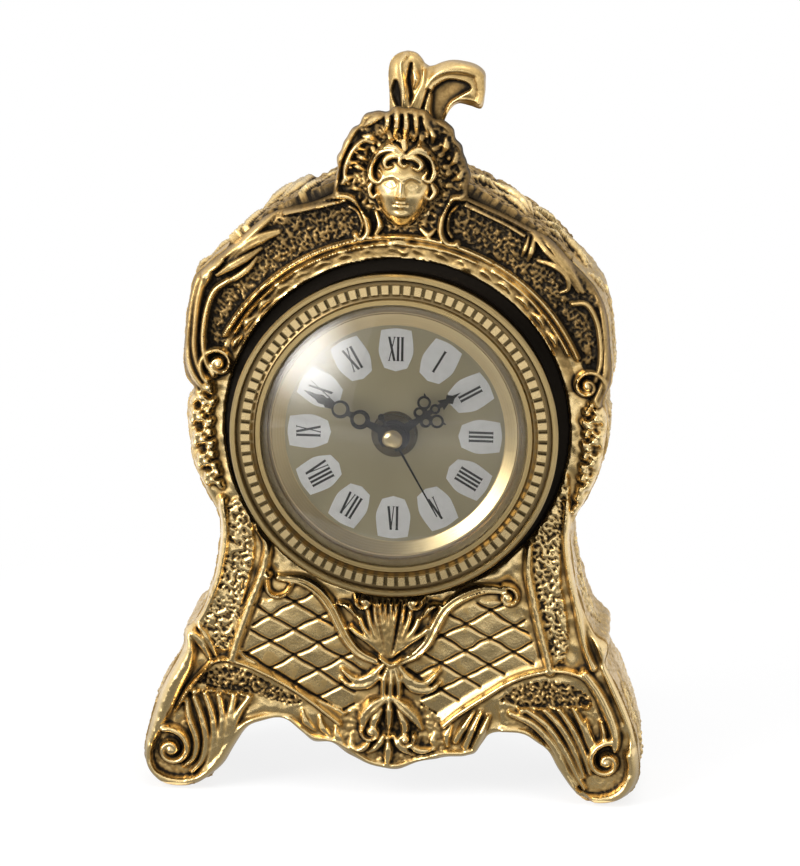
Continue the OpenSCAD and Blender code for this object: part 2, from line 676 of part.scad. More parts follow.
module hour_hand() {
    k = hour_len / 21.9;
    $fn = 28;
    color("black") sheet(hour_turn, hour_hand_d, hour_out) difference() {
        union() {
            circle(4.4);
            polygon(k * [[-1.3, 3.5], [-0.8, 8], [-0.6, 15.6], [-1.6, 15.4], [-0.7, 17.6], [-1.5, 18.4], [-0.5, 19.6], [0, 21.9],
                [0.5, 19.6], [1.5, 18.4], [0.7, 17.6], [1.6, 15.4], [0.6, 15.6], [0.8, 8], [1.3, 3.5]]);
            for (s = [-1, 1]) {
                translate(k * [s * 3.1, 12.1]) circle(1.9);
                translate(k * [s * 1.5, 9.4]) circle(1.6);
                stroke(k * [[0, 10.6], [s * 2, 11.6]], 1, 1);
                stroke(k * [[s * 4.2, 13.2], [s * 5.2, 13.6]], 0.7, 0.3);
            }
            translate(k * [0, 13.6]) circle(1.4);
        }
        for (s = [-1, 1]) {
            translate(k * [s * 3.1, 12.1]) circle(1.25);
            translate(k * [s * 1.6, 9.5]) circle(0.85);
        }
        translate(k * [0, 13.6]) circle(0.75);
    }
}

module minute_hand() {
    k = minute_len / 27.5;
    $fn = 28;
    color("black") sheet(minute_turn, minute_hand_d, cannon_out) difference() {
        union() {
            circle(3.6);
            polygon(k * [[-1.2, 3], [-0.9, 8], [0.9, 8], [1.2, 3]]);
            translate(k * [0, 10.2]) circle(2.7);
            translate(k * [0, 16.2]) circle(2.5);
            polygon(k * [[-1.6, 11], [-0.7, 13.4], [-1.4, 16], [1.4, 16], [0.7, 13.4], [1.6, 11]]);
            polygon(k * [[-0.9, 18], [-1.5, 20.2], [-1, 20.8], [-1.3, 22.4], [-0.7, 23.6], [-0.5, 25.4], [0, 27.5],
                [0.5, 25.4], [0.7, 23.6], [1.3, 22.4], [1, 20.8], [1.5, 20.2], [0.9, 18]]);
        }
        translate(k * [0, 10.4]) circle(1.6);
        translate(k * [0, 16.4]) circle(1.75);
    }
}

module second_hand() {
    k = second_len / 24.7;
    $fn = 28;
    color("black") sheet(second_turn, second_hand_d, axle_r) {
        circle(2.4);
        polygon([[-0.45, -6.2], [-0.28, 8], [-0.15, 24.7 * k], [0.15, 24.7 * k], [0.28, 8], [0.45, -6.2]]);
        translate([0, -6.6]) circle(0.9);
    }
}

module second_cap() {
    color(SATIN) dial_frame() rotate_extrude() polygon([[0, second_hand_d + hand_t + 0.6], [axle_r + 0.05, second_hand_d + hand_t + 0.6],
        [axle_r + 0.05, second_hand_d + hand_t], [2.7, second_hand_d + hand_t], [2.7, second_hand_d + 2.6],
        [2.3, second_hand_d + 3.2], [1.4, second_hand_d + 3.6], [0, second_hand_d + 3.8]]);
}

// Motion work and train
module hour_wheel() {
    color("ivory") dial_frame() difference() {
        union() {
            gear(hour_teeth, m_hour, minute_dir, hour_layer);
            disc(hour_out, hour_layer, hour_hand_d + hand_t);
        }
        disc(hour_in, -1, 20);
    }
}
module cannon_pinion() {
    color("ivory") dial_frame() difference() {
        union() {
            pinion(cannon_teeth, m_motion, minute_dir, minute_layer);
            disc(cannon_out, hour_layer - 0.2, minute_hand_d + hand_t);
            disc(1.1, minute_layer + touch, hour_layer);
            disc(1, centre_layer - 0.15, minute_layer + touch);
        }
        disc(cannon_in, -1, 20);
    }
}
module minute_wheel() {
    color("ivory") dial_frame() at(minute_at) difference() {
        union() {
            gear(minute_teeth, m_motion, minute_dir, minute_layer);
            pinion(minute_pinion_teeth, m_hour, minute_dir + 180, hour_layer);
            disc(0.88, minute_layer, hour_layer + wheel_t);
        }
        disc(0.7 + run_gap, -1, 20);
    }
}
module centre_wheel() {
    color("ivory") dial_frame() difference() {
        gear(centre_teeth, m_centre, third_dir, centre_layer);
        disc(1 + run_gap, -5, 20);
    }
}
module third_wheel() {
    color("ivory") dial_frame() at(third_at) {
        pinion(third_pinion_teeth, m_centre, third_dir + 180, centre_layer);
        gear(third_teeth, m_third, third_dir + 180, third_layer);
        disc(pin_r, inner_back - 0.3, inner_front + 0.3);
    }
}
module seconds_wheel() {
    color("ivory") dial_frame() {
        pinion(second_pinion_teeth, m_third, third_dir, third_layer);
        gear(second_teeth, m_second, inter_dir, second_layer);
        disc(axle_r, inner_back - 0.3, second_hand_d + hand_t + 0.5);
    }
}
module intermediate_wheel() {
    color("ivory") dial_frame() at(inter_at) {
        pinion(inter_pinion_teeth, m_second, inter_dir + 180, second_layer);
        gear(inter_teeth, m_rotor, rotor_dir, inter_layer);
        disc(pin_r, inner_back - 0.3, plate_layer + plate_thick - 0.1);
    }
}
magnet_r = 2.6;
magnet_gap = 0.5;
module rotor_pinion() {
    color("ivory") dial_frame() at(rotor_at) {
        pinion(rotor_teeth, m_rotor, rotor_dir + 180, inter_layer);
        disc(pin_r, inner_back - 0.3, plate_layer + plate_thick - 0.1);
        disc(1, stator_d - 0.6, stator_d + stator_t + 0.7);
    }
}
module rotor_magnet() {
    color(STEEL) dial_frame() at(rotor_at) difference() {
        disc(magnet_r, stator_d - 0.4, stator_d + stator_t + 0.4);
        disc(1, -20, 20);
    }
}

// Motor: a C-shaped core round the rotor, with the coil on its left limb
coil_x = -21;
core_low = -7.4;
core_high = 16;
module stator() {
    color(STEEL) dial_frame() translate([0, 0, stator_d]) linear_extrude(stator_t) difference() {
        union() {
            translate([coil_x - 1.2, core_low]) square([2.4, core_high - core_low]);
            translate([coil_x - 1.2, core_low]) square([rotor_at.x - coil_x, 3.4]);
            translate([-12, rotor_at.y]) square([5.2, core_high - rotor_at.y]);
            translate([coil_x - 1.2, core_high - 4]) square([14, 4]);
            translate(rotor_at) circle(4.4);
        }
        translate(rotor_at) circle(magnet_r + magnet_gap);
        for (s = [0, 1]) translate(rotor_at) rotate(135 + 180 * s) translate([3.6, -0.25]) square([3, 0.5]);
    }
}
bobbin_low = -2.5;
bobbin_high = 10.5;
core_mid = stator_d + stator_t / 2;
module coil_bobbin() {
    color("ivory") dial_frame() difference() {
        union() {
            translate([coil_x - 1.8, bobbin_low, core_mid - 1.2]) cube([3.6, bobbin_high - bobbin_low, 2.4]);
            for (y = [bobbin_low, bobbin_high - 0.8]) translate([coil_x - 3.3, y, core_mid - 3]) cube([6.6, 0.8, 6]);
        }
        translate([coil_x - 1.3, bobbin_low - 1, core_mid - stator_t / 2 - fit]) cube([2.6, 20, stator_t + 2 * fit]);
    }
}
module coil_winding() {
    color("chocolate") dial_frame() difference() {
        translate([coil_x, bobbin_low + 0.85, core_mid]) rotate([-90, 0, 0]) cylinder(r = 2.9, h = bobbin_high - bobbin_low - 1.7);
        translate([coil_x - 1.85, bobbin_low - 1, core_mid - 1.25]) cube([3.7, 20, 2.5]);
    }
}

board_d = stator_d - 0.2;
board_t = 0.8;
board_low = bay_top + bay_wall + 0.9;
module circuit_board() {
    color("darkgreen") dial_frame() translate([10.2, board_low, board_d]) cube([move_w / 2 - shell_t - 0.3 - 10.2, 20, board_t]);
}
module quartz_can() {
    color(STEEL) dial_frame() translate([22.5, board_low + 10, board_d - 1.05]) rotate([-90, 0, 0]) cylinder(r = 1, h = 6);
}
module chip_blob() {
    color("black") dial_frame() translate([16, board_low + 8, board_d - 1.2]) cylinder(r1 = 1.6, r2 = 2.6, h = 1.2);
}

contact_t = 0.4;
contact_low = move_back + 2.5;
contact_high = 2;
contact_x = cell_l / 2 + 0.15;
module positive_contact() {
    color(STEEL) dial_frame() {
        translate([contact_x, cell_z - 4.5, contact_low]) cube([contact_t, bay_top - cell_z + 4.5 + bay_wall + 0.7, 3]);
        translate([contact_x, cell_z - 4.5, contact_low]) cube([contact_t, 9, contact_high - contact_low]);
    }
}
module negative_contact() {
    strip_z = bay_top + bay_wall + 0.3;
    color(STEEL) dial_frame() {
        translate([-contact_x - contact_t, cell_z - 4.5, contact_low]) cube([contact_t, strip_z + contact_t - cell_z + 4.5, 3]);
        translate([-contact_x - contact_t, cell_z - 4.5, contact_low]) cube([contact_t, 9, contact_high - contact_low]);
        translate([-contact_x - contact_t, strip_z, contact_low]) cube([contact_x + 15, contact_t, 3]);
    }
}
module battery() {
    button_l = 1;
    color("gray") dial_frame() translate([-cell_l / 2, cell_z, cell_c]) rotate([0, 90, 0]) {
        cylinder(r = cell_d / 2, h = cell_l - button_l);
        cylinder(r = 2.6, h = cell_l);
    }
}

knob_r = 5.5;
module setting_knob() {
    color(BLACK) dial_frame() at(knob_at) {
        pinion(cannon_teeth, m_motion, minute_dir + 180, minute_layer);
        disc(0.5, minute_layer, inner_front + 0.3);
        disc(1, move_back - 0.3, minute_layer + 0.1);
        difference() {
            disc(knob_r, move_back - 3.2, move_back - 0.25);
            for (i = [0 : 15]) rotate(i * 22.5) translate([knob_r + 0.4, 0, -30]) cylinder(r = 0.8, h = 40);
        }
    }
}

front_casting();
left_flank();
right_flank();
roof_band();
crest_finial();
crest_nut();
case_screws();
bezel();
beaded_ring();
lens();
lens_gasket();
reflector_ring();
dial_cup();
grip_band();
dial_plate();
chapter_plaques();
front_housing();
rear_housing();
train_plate();
rubber_washer();
brass_washer();
bushing_nut();
hour_hand();
hour_wheel();
minute_hand();
cannon_pinion();
minute_wheel();
second_hand();
second_cap();
seconds_wheel();
third_wheel();
centre_wheel();
intermediate_wheel();
rotor_pinion();
rotor_magnet();
stator();
coil_bobbin();
coil_winding();
circuit_board();
quartz_can();
chip_blob();
positive_contact();
negative_contact();
battery();
setting_knob();
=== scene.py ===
# %% [markdown]
# # A cast brass table clock
# The clock is a hollow brass casting on two scroll feet with a round quartz insert in its face.
# Nearly everything that the eye enjoys is carved relief, so most of this lesson is about relief:
# it is drawn stroke by stroke on a height field, which is then turned into one clean mesh.
# The insert, the hands and the movement come exact from the frame and get their finishes here.

# %% Load the frame and keep its size
import math
import bpy
import numpy as np
from mathutils import Matrix, Vector
from mathutils.geometry import delaunay_2d_cdt


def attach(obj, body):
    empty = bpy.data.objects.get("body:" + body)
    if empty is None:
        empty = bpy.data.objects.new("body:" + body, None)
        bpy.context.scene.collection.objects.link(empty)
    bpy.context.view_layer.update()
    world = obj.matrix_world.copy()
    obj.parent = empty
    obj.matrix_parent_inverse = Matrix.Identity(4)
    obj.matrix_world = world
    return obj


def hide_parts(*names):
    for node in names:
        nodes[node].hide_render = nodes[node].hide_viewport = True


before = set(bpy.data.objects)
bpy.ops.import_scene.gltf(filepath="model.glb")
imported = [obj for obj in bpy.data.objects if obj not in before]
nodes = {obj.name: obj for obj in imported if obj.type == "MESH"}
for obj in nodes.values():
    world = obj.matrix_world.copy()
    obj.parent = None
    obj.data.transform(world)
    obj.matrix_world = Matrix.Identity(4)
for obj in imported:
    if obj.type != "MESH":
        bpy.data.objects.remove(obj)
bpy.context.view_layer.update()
FACE_Y = -7.5                    # the front plate's face, in millimetres
BACK_Y = 27.5                    # the open back of the case
# the bezel's side wall behind SIDE_Y is painted nearly black as shade
SIDE_Y = -19.0                   # the bezel's side lies behind this
STUD_R = 2.0                     # the crest's threaded stud
PLATE = 3.0                      # thickness of the plate and of the walls
DIAL_Z = 106.0                   # height of the dial's centre
HOLE_R = 41.0                    # the hole in the front for the insert
CHANNEL_R = 47.8                 # the sunk channel round the bezel
bpy.ops.object.select_all(action="DESELECT")

# %% [markdown]
# ## Camera, floor and light
# The picture was taken a little from the right and from above, with the camera tipped by one degree.
# The floor is a pale sheet. The world is white to the camera and to mirrors, and soft grey as a lamp.
# Polished metal only looks like metal if it has something dark to reflect too, so grey cards stand
# round the clock, as in a product studio, and lit cloths give its highlights. Only mirrors see them.
# Two dark sheets are for the domed glass alone, because a pale reflection would veil the dial.

# %% Camera
def place_camera(azimuth, elevation, roll, distance, aim, lens):
    a, e = math.radians(azimuth), math.radians(elevation)
    back = Vector((math.sin(a) * math.cos(e), -math.cos(a) * math.cos(e), math.sin(e)))
    bpy.ops.object.camera_add(location=Vector(aim) + back * distance)
    camera = bpy.context.object
    camera.rotation_mode = "QUATERNION"
    turn = Matrix.Rotation(math.radians(roll), 4, back)
    camera.rotation_quaternion = turn.to_quaternion() @ (-back).to_track_quat("-Z", "Y")
    camera.data.lens, camera.data.sensor_width = lens, 36
    camera.data.clip_start = 0.01
    bpy.context.scene.camera = camera
    return camera


camera = place_camera(azimuth=4.3, elevation=12.5, roll=1.05, distance=0.9,
                      aim=(0.0009, FACE_Y / 1000, 0.1046), lens=135.3)
print("camera at", [round(v, 3) for v in camera.location])

# %% [markdown]
# ## A small language for shaders
# Node trees are easier to read as sums than as wires. The class wraps one socket, and each
# operator adds the Math node that does it. Any other node comes from one method, `node`.

# %% Shader maths
class Wire:
    def __init__(self, tree, socket):
        self.tree, self.socket = tree, socket

    def math(self, operation, *others):
        return self.tree.node("ShaderNodeMath", {"operation": operation}, self, *others)

    def __add__(self, other):
        return self.math("ADD", other)

    def __sub__(self, other):
        return self.math("SUBTRACT", other)

    def __mul__(self, other):
        return self.math("MULTIPLY", other)

    def __truediv__(self, other):
        return self.math("DIVIDE", other)

    def __rsub__(self, other):
        return self.tree.node("ShaderNodeMath", {"operation": "SUBTRACT"}, other, self)

    __radd__, __rmul__ = __add__, __mul__

    def clamp(self, low=0.0, high=1.0):
        return self.math("MAXIMUM", low).math("MINIMUM", high)

    def above(self, limit, soft):
        return ((self - limit) / soft).clamp()


class Finish:
    """One procedural material. Nodes are added by method; constants go to the shader's own sockets."""
    def __init__(self, name, **constants):
        self.material = bpy.data.materials.new(name)
        self.material.use_nodes = True
        self.nodes, self.links = self.material.node_tree.nodes, self.material.node_tree.links
        self.shader = self.nodes["Principled BSDF"]
        for key, value in constants.items():
            self.shader.inputs[key.replace("_", " ")].default_value = value
        self.where = self.node("ShaderNodeTexCoord", {}, out="Object")

    def node(self, kind, settings, *inputs, out=0, **named):
        n = self.nodes.new(kind)
        for key, value in settings.items():
            setattr(n, key, value)
        pairs = list(enumerate(inputs)) + [(k.replace("_", " "), v) for k, v in named.items()]
        for key, value in pairs:
            if isinstance(value, Wire):
                self.links.new(value.socket, n.inputs[key])
            elif value is not None:
                n.inputs[key].default_value = value
        return Wire(self, n.outputs[out])

    def ramp(self, factor, stops):
        n = self.nodes.new("ShaderNodeValToRGB")
        while len(n.color_ramp.elements) < len(stops):
            n.color_ramp.elements.new(0.5)
        for element, (place, colour) in zip(n.color_ramp.elements, stops):
            element.position, element.color = place, (*colour, 1)
        self.links.new(factor.socket, n.inputs[0])
        return Wire(self, n.outputs[0])

    def noise(self, scale, detail, stretch=None):
        where = self.where
        if stretch:
            where = self.node("ShaderNodeMapping", {}, where, Scale=stretch)
        grain = {"Scale": scale, "Detail": detail, "Roughness": 0.55}
        return self.node("ShaderNodeTexNoise", {}, where, out="Fac", **grain)

    def attribute(self, name):
        return self.node("ShaderNodeAttribute", {"attribute_name": name}, out="Fac")

    def mix(self, factor, a, b):
        n = self.nodes.new("ShaderNodeMix")
        n.data_type = "RGBA"
        for key, value in ((0, factor), (6, a), (7, b)):
            if isinstance(value, Wire):
                self.links.new(value.socket, n.inputs[key])
            else:
                n.inputs[key].default_value = value if key == 0 else (*value, 1)
        return Wire(self, n.outputs[2])

    def parts(self):
        """x, y and z of the place, in metres."""
        return [self.node("ShaderNodeSeparateXYZ", {}, self.where, out=k) for k in range(3)]

    def bump(self, height, strength, distance):
        return self.node("ShaderNodeBump", {}, Strength=strength, Distance=distance, Height=height)

    def set(self, **sockets):
        for key, wire in sockets.items():
            self.links.new(wire.socket, self.shader.inputs[key.replace("_", " ")])
        return self.material


def wear(name, material):
    """Gives a frame node its finish, by its material slots."""
    o = nodes[name]
    if not o.material_slots:
        o.data.materials.append(material)
    for slot in o.material_slots:
        slot.material = material


# %% Floor
bpy.ops.mesh.primitive_plane_add(size=8, location=(0, 0, 0))
floor = bpy.context.object
floor.name = "floor_sheet"
paper = Finish("pale_paper", Roughness=0.9)
grain = paper.noise(40, 4)
paper.set(Base_Color=paper.ramp(grain, [(0, (0.80, 0.80, 0.80)), (1, (0.86, 0.86, 0.86))]))
far = paper.node("ShaderNodeVectorMath", {"operation": "LENGTH"}, paper.where, out="Value")
to_camera = paper.node("ShaderNodeLightPath", {}, out="Is Camera Ray")
seen_white = ((far - 0.12) * 1.2 + 0.82).clamp(0.82, 1.0) * to_camera
glow = paper.node("ShaderNodeEmission", {}, Color=(1, 1, 1, 1), Strength=1.0)
cover = paper.node("ShaderNodeMixShader", {}, seen_white, Wire(paper, paper.shader.outputs[0]), glow)
paper.links.new(cover.socket, paper.nodes["Material Output"].inputs[0])
floor.data.materials.append(paper.material)
print("floor:", floor.name)

# %% World and lamps
world = bpy.data.worlds.new("studio")
bpy.context.scene.world = world
world.use_nodes = True
wn, wl = world.node_tree.nodes, world.node_tree.links
path = wn.new("ShaderNodeLightPath")
seen = wn.new("ShaderNodeMath")
seen.operation = "MAXIMUM"
wl.new(path.outputs["Is Camera Ray"], seen.inputs[0])
wl.new(path.outputs["Is Glossy Ray"], seen.inputs[1])
tone, through = wn.new("ShaderNodeMix"), wn.new("ShaderNodeMix")
tone.data_type = through.data_type = "RGBA"
tone.inputs[6].default_value, tone.inputs[7].default_value = (0.55, 0.55, 0.56, 1), (1, 1, 1, 1)
through.inputs[7].default_value = (0.5, 0.5, 0.5, 1)
wl.new(seen.outputs[0], tone.inputs[0])
wl.new(tone.outputs[2], through.inputs[6])
wl.new(path.outputs["Is Transmission Ray"], through.inputs[0])
wl.new(through.outputs[2], wn["Background"].inputs[0])


CLOCK = Vector((0, 0, 0.1))      # lamps and cards look at the clock's middle


def softbox(name, place, size, power):
    bpy.ops.object.light_add(type="AREA", location=place)
    lamp = bpy.context.object
    lamp.name, lamp.data.shape = name, "RECTANGLE"
    lamp.data.size, lamp.data.size_y, lamp.data.energy = size[0], size[1], power
    lamp.visible_glossy = lamp.visible_transmission = False
    lamp.rotation_mode = "QUATERNION"
    lamp.rotation_quaternion = (CLOCK - Vector(place)).to_track_quat("-Z", "Y")


softbox("key", (-0.62, -0.55, 0.62), (0.5, 0.5), 8.5)
softbox("top", (0.15, -0.25, 0.95), (0.7, 0.5), 6)
softbox("side", (0.8, -0.5, 0.3), (0.2, 0.6), 2.5)
print("studio: 3 softboxes")


# %% Cards and glowing cloths
def card(name, place, size, middle, rim=1.0, towards=CLOCK, in_glass=False, on_metal=True):
    """A sheet that only mirrors see, from one grey in its middle to another at its rim, like a lit cloth.
    The glass and the metal each mirror the cards that are meant for them."""
    bpy.ops.mesh.primitive_plane_add(size=1, location=place)
    o = bpy.context.object
    o.name = name
    o.rotation_mode = "QUATERNION"
    o.rotation_quaternion = (Vector(towards) - Vector(place)).to_track_quat("Z", "Y")
    o.scale = (size[0], size[1], 1)
    top = max(middle, rim)
    m = Finish(name + "_cloth", Base_Color=(0, 0, 0, 1), Roughness=1.0, Specular_IOR_Level=0.0,
               Emission_Strength=top)
    out_from_middle = m.node("ShaderNodeVectorMath", {"operation": "LENGTH"}, m.where, out="Value") * 2.0
    stops = []
    for out_at, share in ((0.1, 0), (0.3, 0.12), (0.55, 0.5), (0.8, 0.88), (1.0, 1)):
        t = (middle + (rim - middle) * share) / top
        stops.append((out_at, (t, t * 0.985, t * 0.955)))
    m.set(Emission_Color=m.ramp(out_from_middle + m.noise(30, 2) * 0.04, stops))
    o.data.materials.append(m.material)
    o.visible_camera = o.visible_diffuse = o.visible_shadow = False
    o.visible_transmission, o.visible_glossy = in_glass, on_metal


card("card_front", (0.05, -1.25, 0.48), (2.6, 1.1), 0.40)
card("card_low", (0.0, -0.12, 0.002), (1.0, 0.66), 0.14, 1.0, towards=(0, -0.12, 1))
card("card_right", (0.95, -0.30, 0.35), (1.2, 1.4), 0.10, 0.8)
card("card_behind", (0.1, 1.0, 0.30), (2.0, 1.0), 0.35)
card("glow_left", (-0.63, -0.66, 0.42), (0.85, 0.85), 11.0, in_glass=True)
card("glow_top", (0.1, -0.10, 1.05), (0.9, 0.6), 3.0)
card("dark_room", (0.0, -1.7, 0.6), (4.4, 3.2), 0.05, 0.4, in_glass=True, on_metal=False)
card("dark_table", (0.0, -0.6, 0.004), (1.7, 1.05), 0.26, 0.5, towards=(0, -0.6, 1), in_glass=True,
     on_metal=False)
print("studio: 8 cards")

# %% [markdown]
# ## The relief canvas
# A carver works with a few moves: a moulding is pulled along a line, a leaf swells and is veined,
# a bead is set, a ground is punched. Each move here raises or cuts a grid of heights.
# Boxes and bevels could never give this surface, and sculpting by hand could not be repeated,
# so the mesh is made from the grid. The lines are smooth curves through a few stations.

# %% Curves through stations
def smooth(p, n=4):
    """A smooth curve through stations, with n points for each stretch."""
    p = np.array(p, float)
    q = np.concatenate([[2 * p[0] - p[1]], p, [2 * p[-1] - p[-2]]])
    out = []
    for a, b, c, d in zip(q, q[1:], q[2:], q[3:]):
        square, cube = 2 * a - 5 * b + 4 * c - d, 3 * b - a - 3 * c + d
        out += [0.5 * (2 * b + (c - a) * t + square * t * t + cube * t ** 3) for t in np.arange(n) / n]
    return np.array(out + [p[-1]])


def spread(v, t):
    """A size that changes along a line: its values are spaced evenly over t from 0 to 1."""
    v = np.atleast_1d(np.array(v, float))
    return np.interp(t, np.linspace(0, 1, len(v)), v)


FOOT_X, FOOT_Y = 390, 802                     # the picture point between the feet, on the floor
LEAN = 0.0183                                 # the camera's roll, as a slope
MM_WIDE, MM_TALL = 0.2765, 0.2833             # millimetres for each picture point, across and up
SHIFT_X, SHIFT_Z = 0.075, 0.216               # how far a place seems to move for each millimetre of depth


def seen_at(points, h):
    """Picture points turned into millimetres on the front; h is how far they stand out of the plate."""
    p = np.array(points, float)
    dx, dy = p[:, 0] - FOOT_X, FOOT_Y - p[:, 1]
    return np.stack([(dx - LEAN * dy) * MM_WIDE + SHIFT_X * h, (LEAN * dx + dy) * MM_TALL + SHIFT_Z * h], 1)


SECTIONS = {
    "round": lambda u: np.sqrt(np.clip(1 - u * u, 0, 1)),
    "soft": lambda u: np.clip(1 - u * u, 0, 1) ** 1.5,
    "flat": lambda u: np.clip((1 - np.abs(u)) / 0.35, 0, 1) ** 0.8,
    "double": lambda u: np.sqrt(np.clip(1 - u * u, 0, 1)) - 0.32 * np.exp(-(u / 0.22) ** 2),
    "slope": lambda u: np.clip((1 - np.abs(u)) / 0.2, 0, 1) * (0.75 + 0.25 * u),
}

# %% A grid of heights
class Grid:
    """Heights and tones over a grid of places, in millimetres, with noise of several sizes to draw on."""
    def __init__(self, x0, x1, z0, z1, step, to_mm, seed=7):
        self.step, self.to_mm = step, to_mm
        self.xs, self.zs = np.arange(x0, x1, step), np.arange(z0, z1, step)
        self.X, self.Z = np.meshgrid(self.xs, self.zs)
        self.H, self.dark = np.zeros_like(self.X), np.zeros_like(self.X)
        dice = np.random.default_rng(seed)
        grit = dice.normal(size=self.X.shape)
        punch = self.blur(grit, step * 3, 1)
        punch = punch / punch.std() + 0.55 * grit
        self.punch = np.clip(punch, -1.5, 1.1) * 0.6
        chatter = self.blur(dice.normal(size=self.X.shape), 0.7, 2)
        self.chatter = chatter / chatter.std()
        self.open = np.ones_like(self.X)
        swell = self.blur(dice.normal(size=self.X.shape), 2.2, 3)
        self.swell = swell / swell.std()

    def blur(self, a, radius, times):
        k = max(1, int(round(radius / self.step))) | 1
        for _ in range(times):
            for axis in (0, 1):
                pad = [(0, 0), (0, 0)]
                pad[axis] = (k // 2 + 1, k // 2)
                c = np.cumsum(np.pad(a, pad, mode="edge"), axis=axis)
                a = (c[k:] - c[:-k] if axis == 0 else c[:, k:] - c[:, :-k]) / k
        return a

    def near(self, line, reach):
        """Offset to the side and place along the line, for the grid points near it."""
        low, high = line.min(0) - reach, line.max(0) + reach
        i0, i1 = np.searchsorted(self.zs, [low[1], high[1]])
        j0, j1 = np.searchsorted(self.xs, [low[0], high[0]])
        win = (slice(i0, i1), slice(j0, j1))
        gx, gz = self.X[win], self.Z[win]
        best, side, along = np.full(gx.shape, 1e9), np.zeros_like(gx), np.zeros_like(gx)
        legs = np.diff(line, axis=0)
        length = np.maximum(np.hypot(legs[:, 0], legs[:, 1]), 1e-9)
        run = np.concatenate([[0], np.cumsum(length)])
        for k, (sx, sz) in enumerate(legs):
            rx, rz = gx - line[k, 0], gz - line[k, 1]
            t = np.clip((rx * sx + rz * sz) / length[k] ** 2, 0, 1)
            d = np.hypot(rx - t * sx, rz - t * sz)
            m = d < best
            best[m], along[m] = d[m], ((run[k] + t * length[k]) / run[-1])[m]
            side[m] = np.where(sx * rz - sz * rx < 0, -1, 1)[m]
        return win, best * side, along

    def inside(self, loop):
        m = np.zeros(self.X.shape, bool)
        for (x0, z0), (x1, z1) in zip(loop, np.roll(loop, -1, axis=0)):
            if z0 != z1:
                level = (self.Z >= min(z0, z1)) & (self.Z < max(z0, z1))
                m ^= level & (self.X < x0 + (self.Z - z0) * (x1 - x0) / (z1 - z0))
        return m

    def gap(self, loop):
        """The distance from every grid point to a closed line."""
        far = np.full(self.X.shape, 1e9)
        for a, b in zip(loop, np.roll(loop, -1, axis=0)):
            s = b - a
            t = np.clip(((self.X - a[0]) * s[0] + (self.Z - a[1]) * s[1]) / max(s @ s, 1e-12), 0, 1)
            np.minimum(far, (self.X - a[0] - t * s[0]) ** 2 + (self.Z - a[1] - t * s[1]) ** 2, out=far)
        return np.sqrt(far)

    def hollows(self):
        """How deep each place lies under what is round it: dirt and dark lacquer stay there, and the
        darkening is also painted shade in the hollows.
        """
        near, wide = (self.blur(self.H, r, n) - self.H for r, n in ((0.9, 3), (2.4, 2)))
        deep = (near / 0.7).clip(0, 1) * 0.7 + (wide / 2.0).clip(0, 1) * 0.7 + (wide / 3.0).clip(-0.35, 0)
        return np.clip(deep, -0.35, 1) * self.open

    def read(self, a, points):
        """Values of a at points between the grid's."""
        fx = np.clip((points[:, 0] - self.xs[0]) / self.step, 0, len(self.xs) - 1.001)
        fz = np.clip((points[:, 1] - self.zs[0]) / self.step, 0, len(self.zs) - 1.001)
        j, i = fx.astype(int), fz.astype(int)
        u, v = fx - j, fz - i
        under = a[i, j] * (1 - u) + a[i, j + 1] * u
        over = a[i + 1, j] * (1 - u) + a[i + 1, j + 1] * u
        return under * (1 - v) + over * v


print("grid: heights, tones, noise and distances")

# %% [markdown]
# ## The carver's moves
# A move follows a line through stations, or fills a field. What is raised never lowers what stands
# there already, so strokes can cross in any order. Grounds and grooves do lower it, and their place
# in the order counts. Stations are given as they are seen in the picture, which is how a carver
# copies a pattern, and a function turns them into millimetres.

# %% Bands, leaves, beads and grounds
RELIEF, SUNK = 3.5, 1.5                       # how far ornament and grounds stand out of the plate


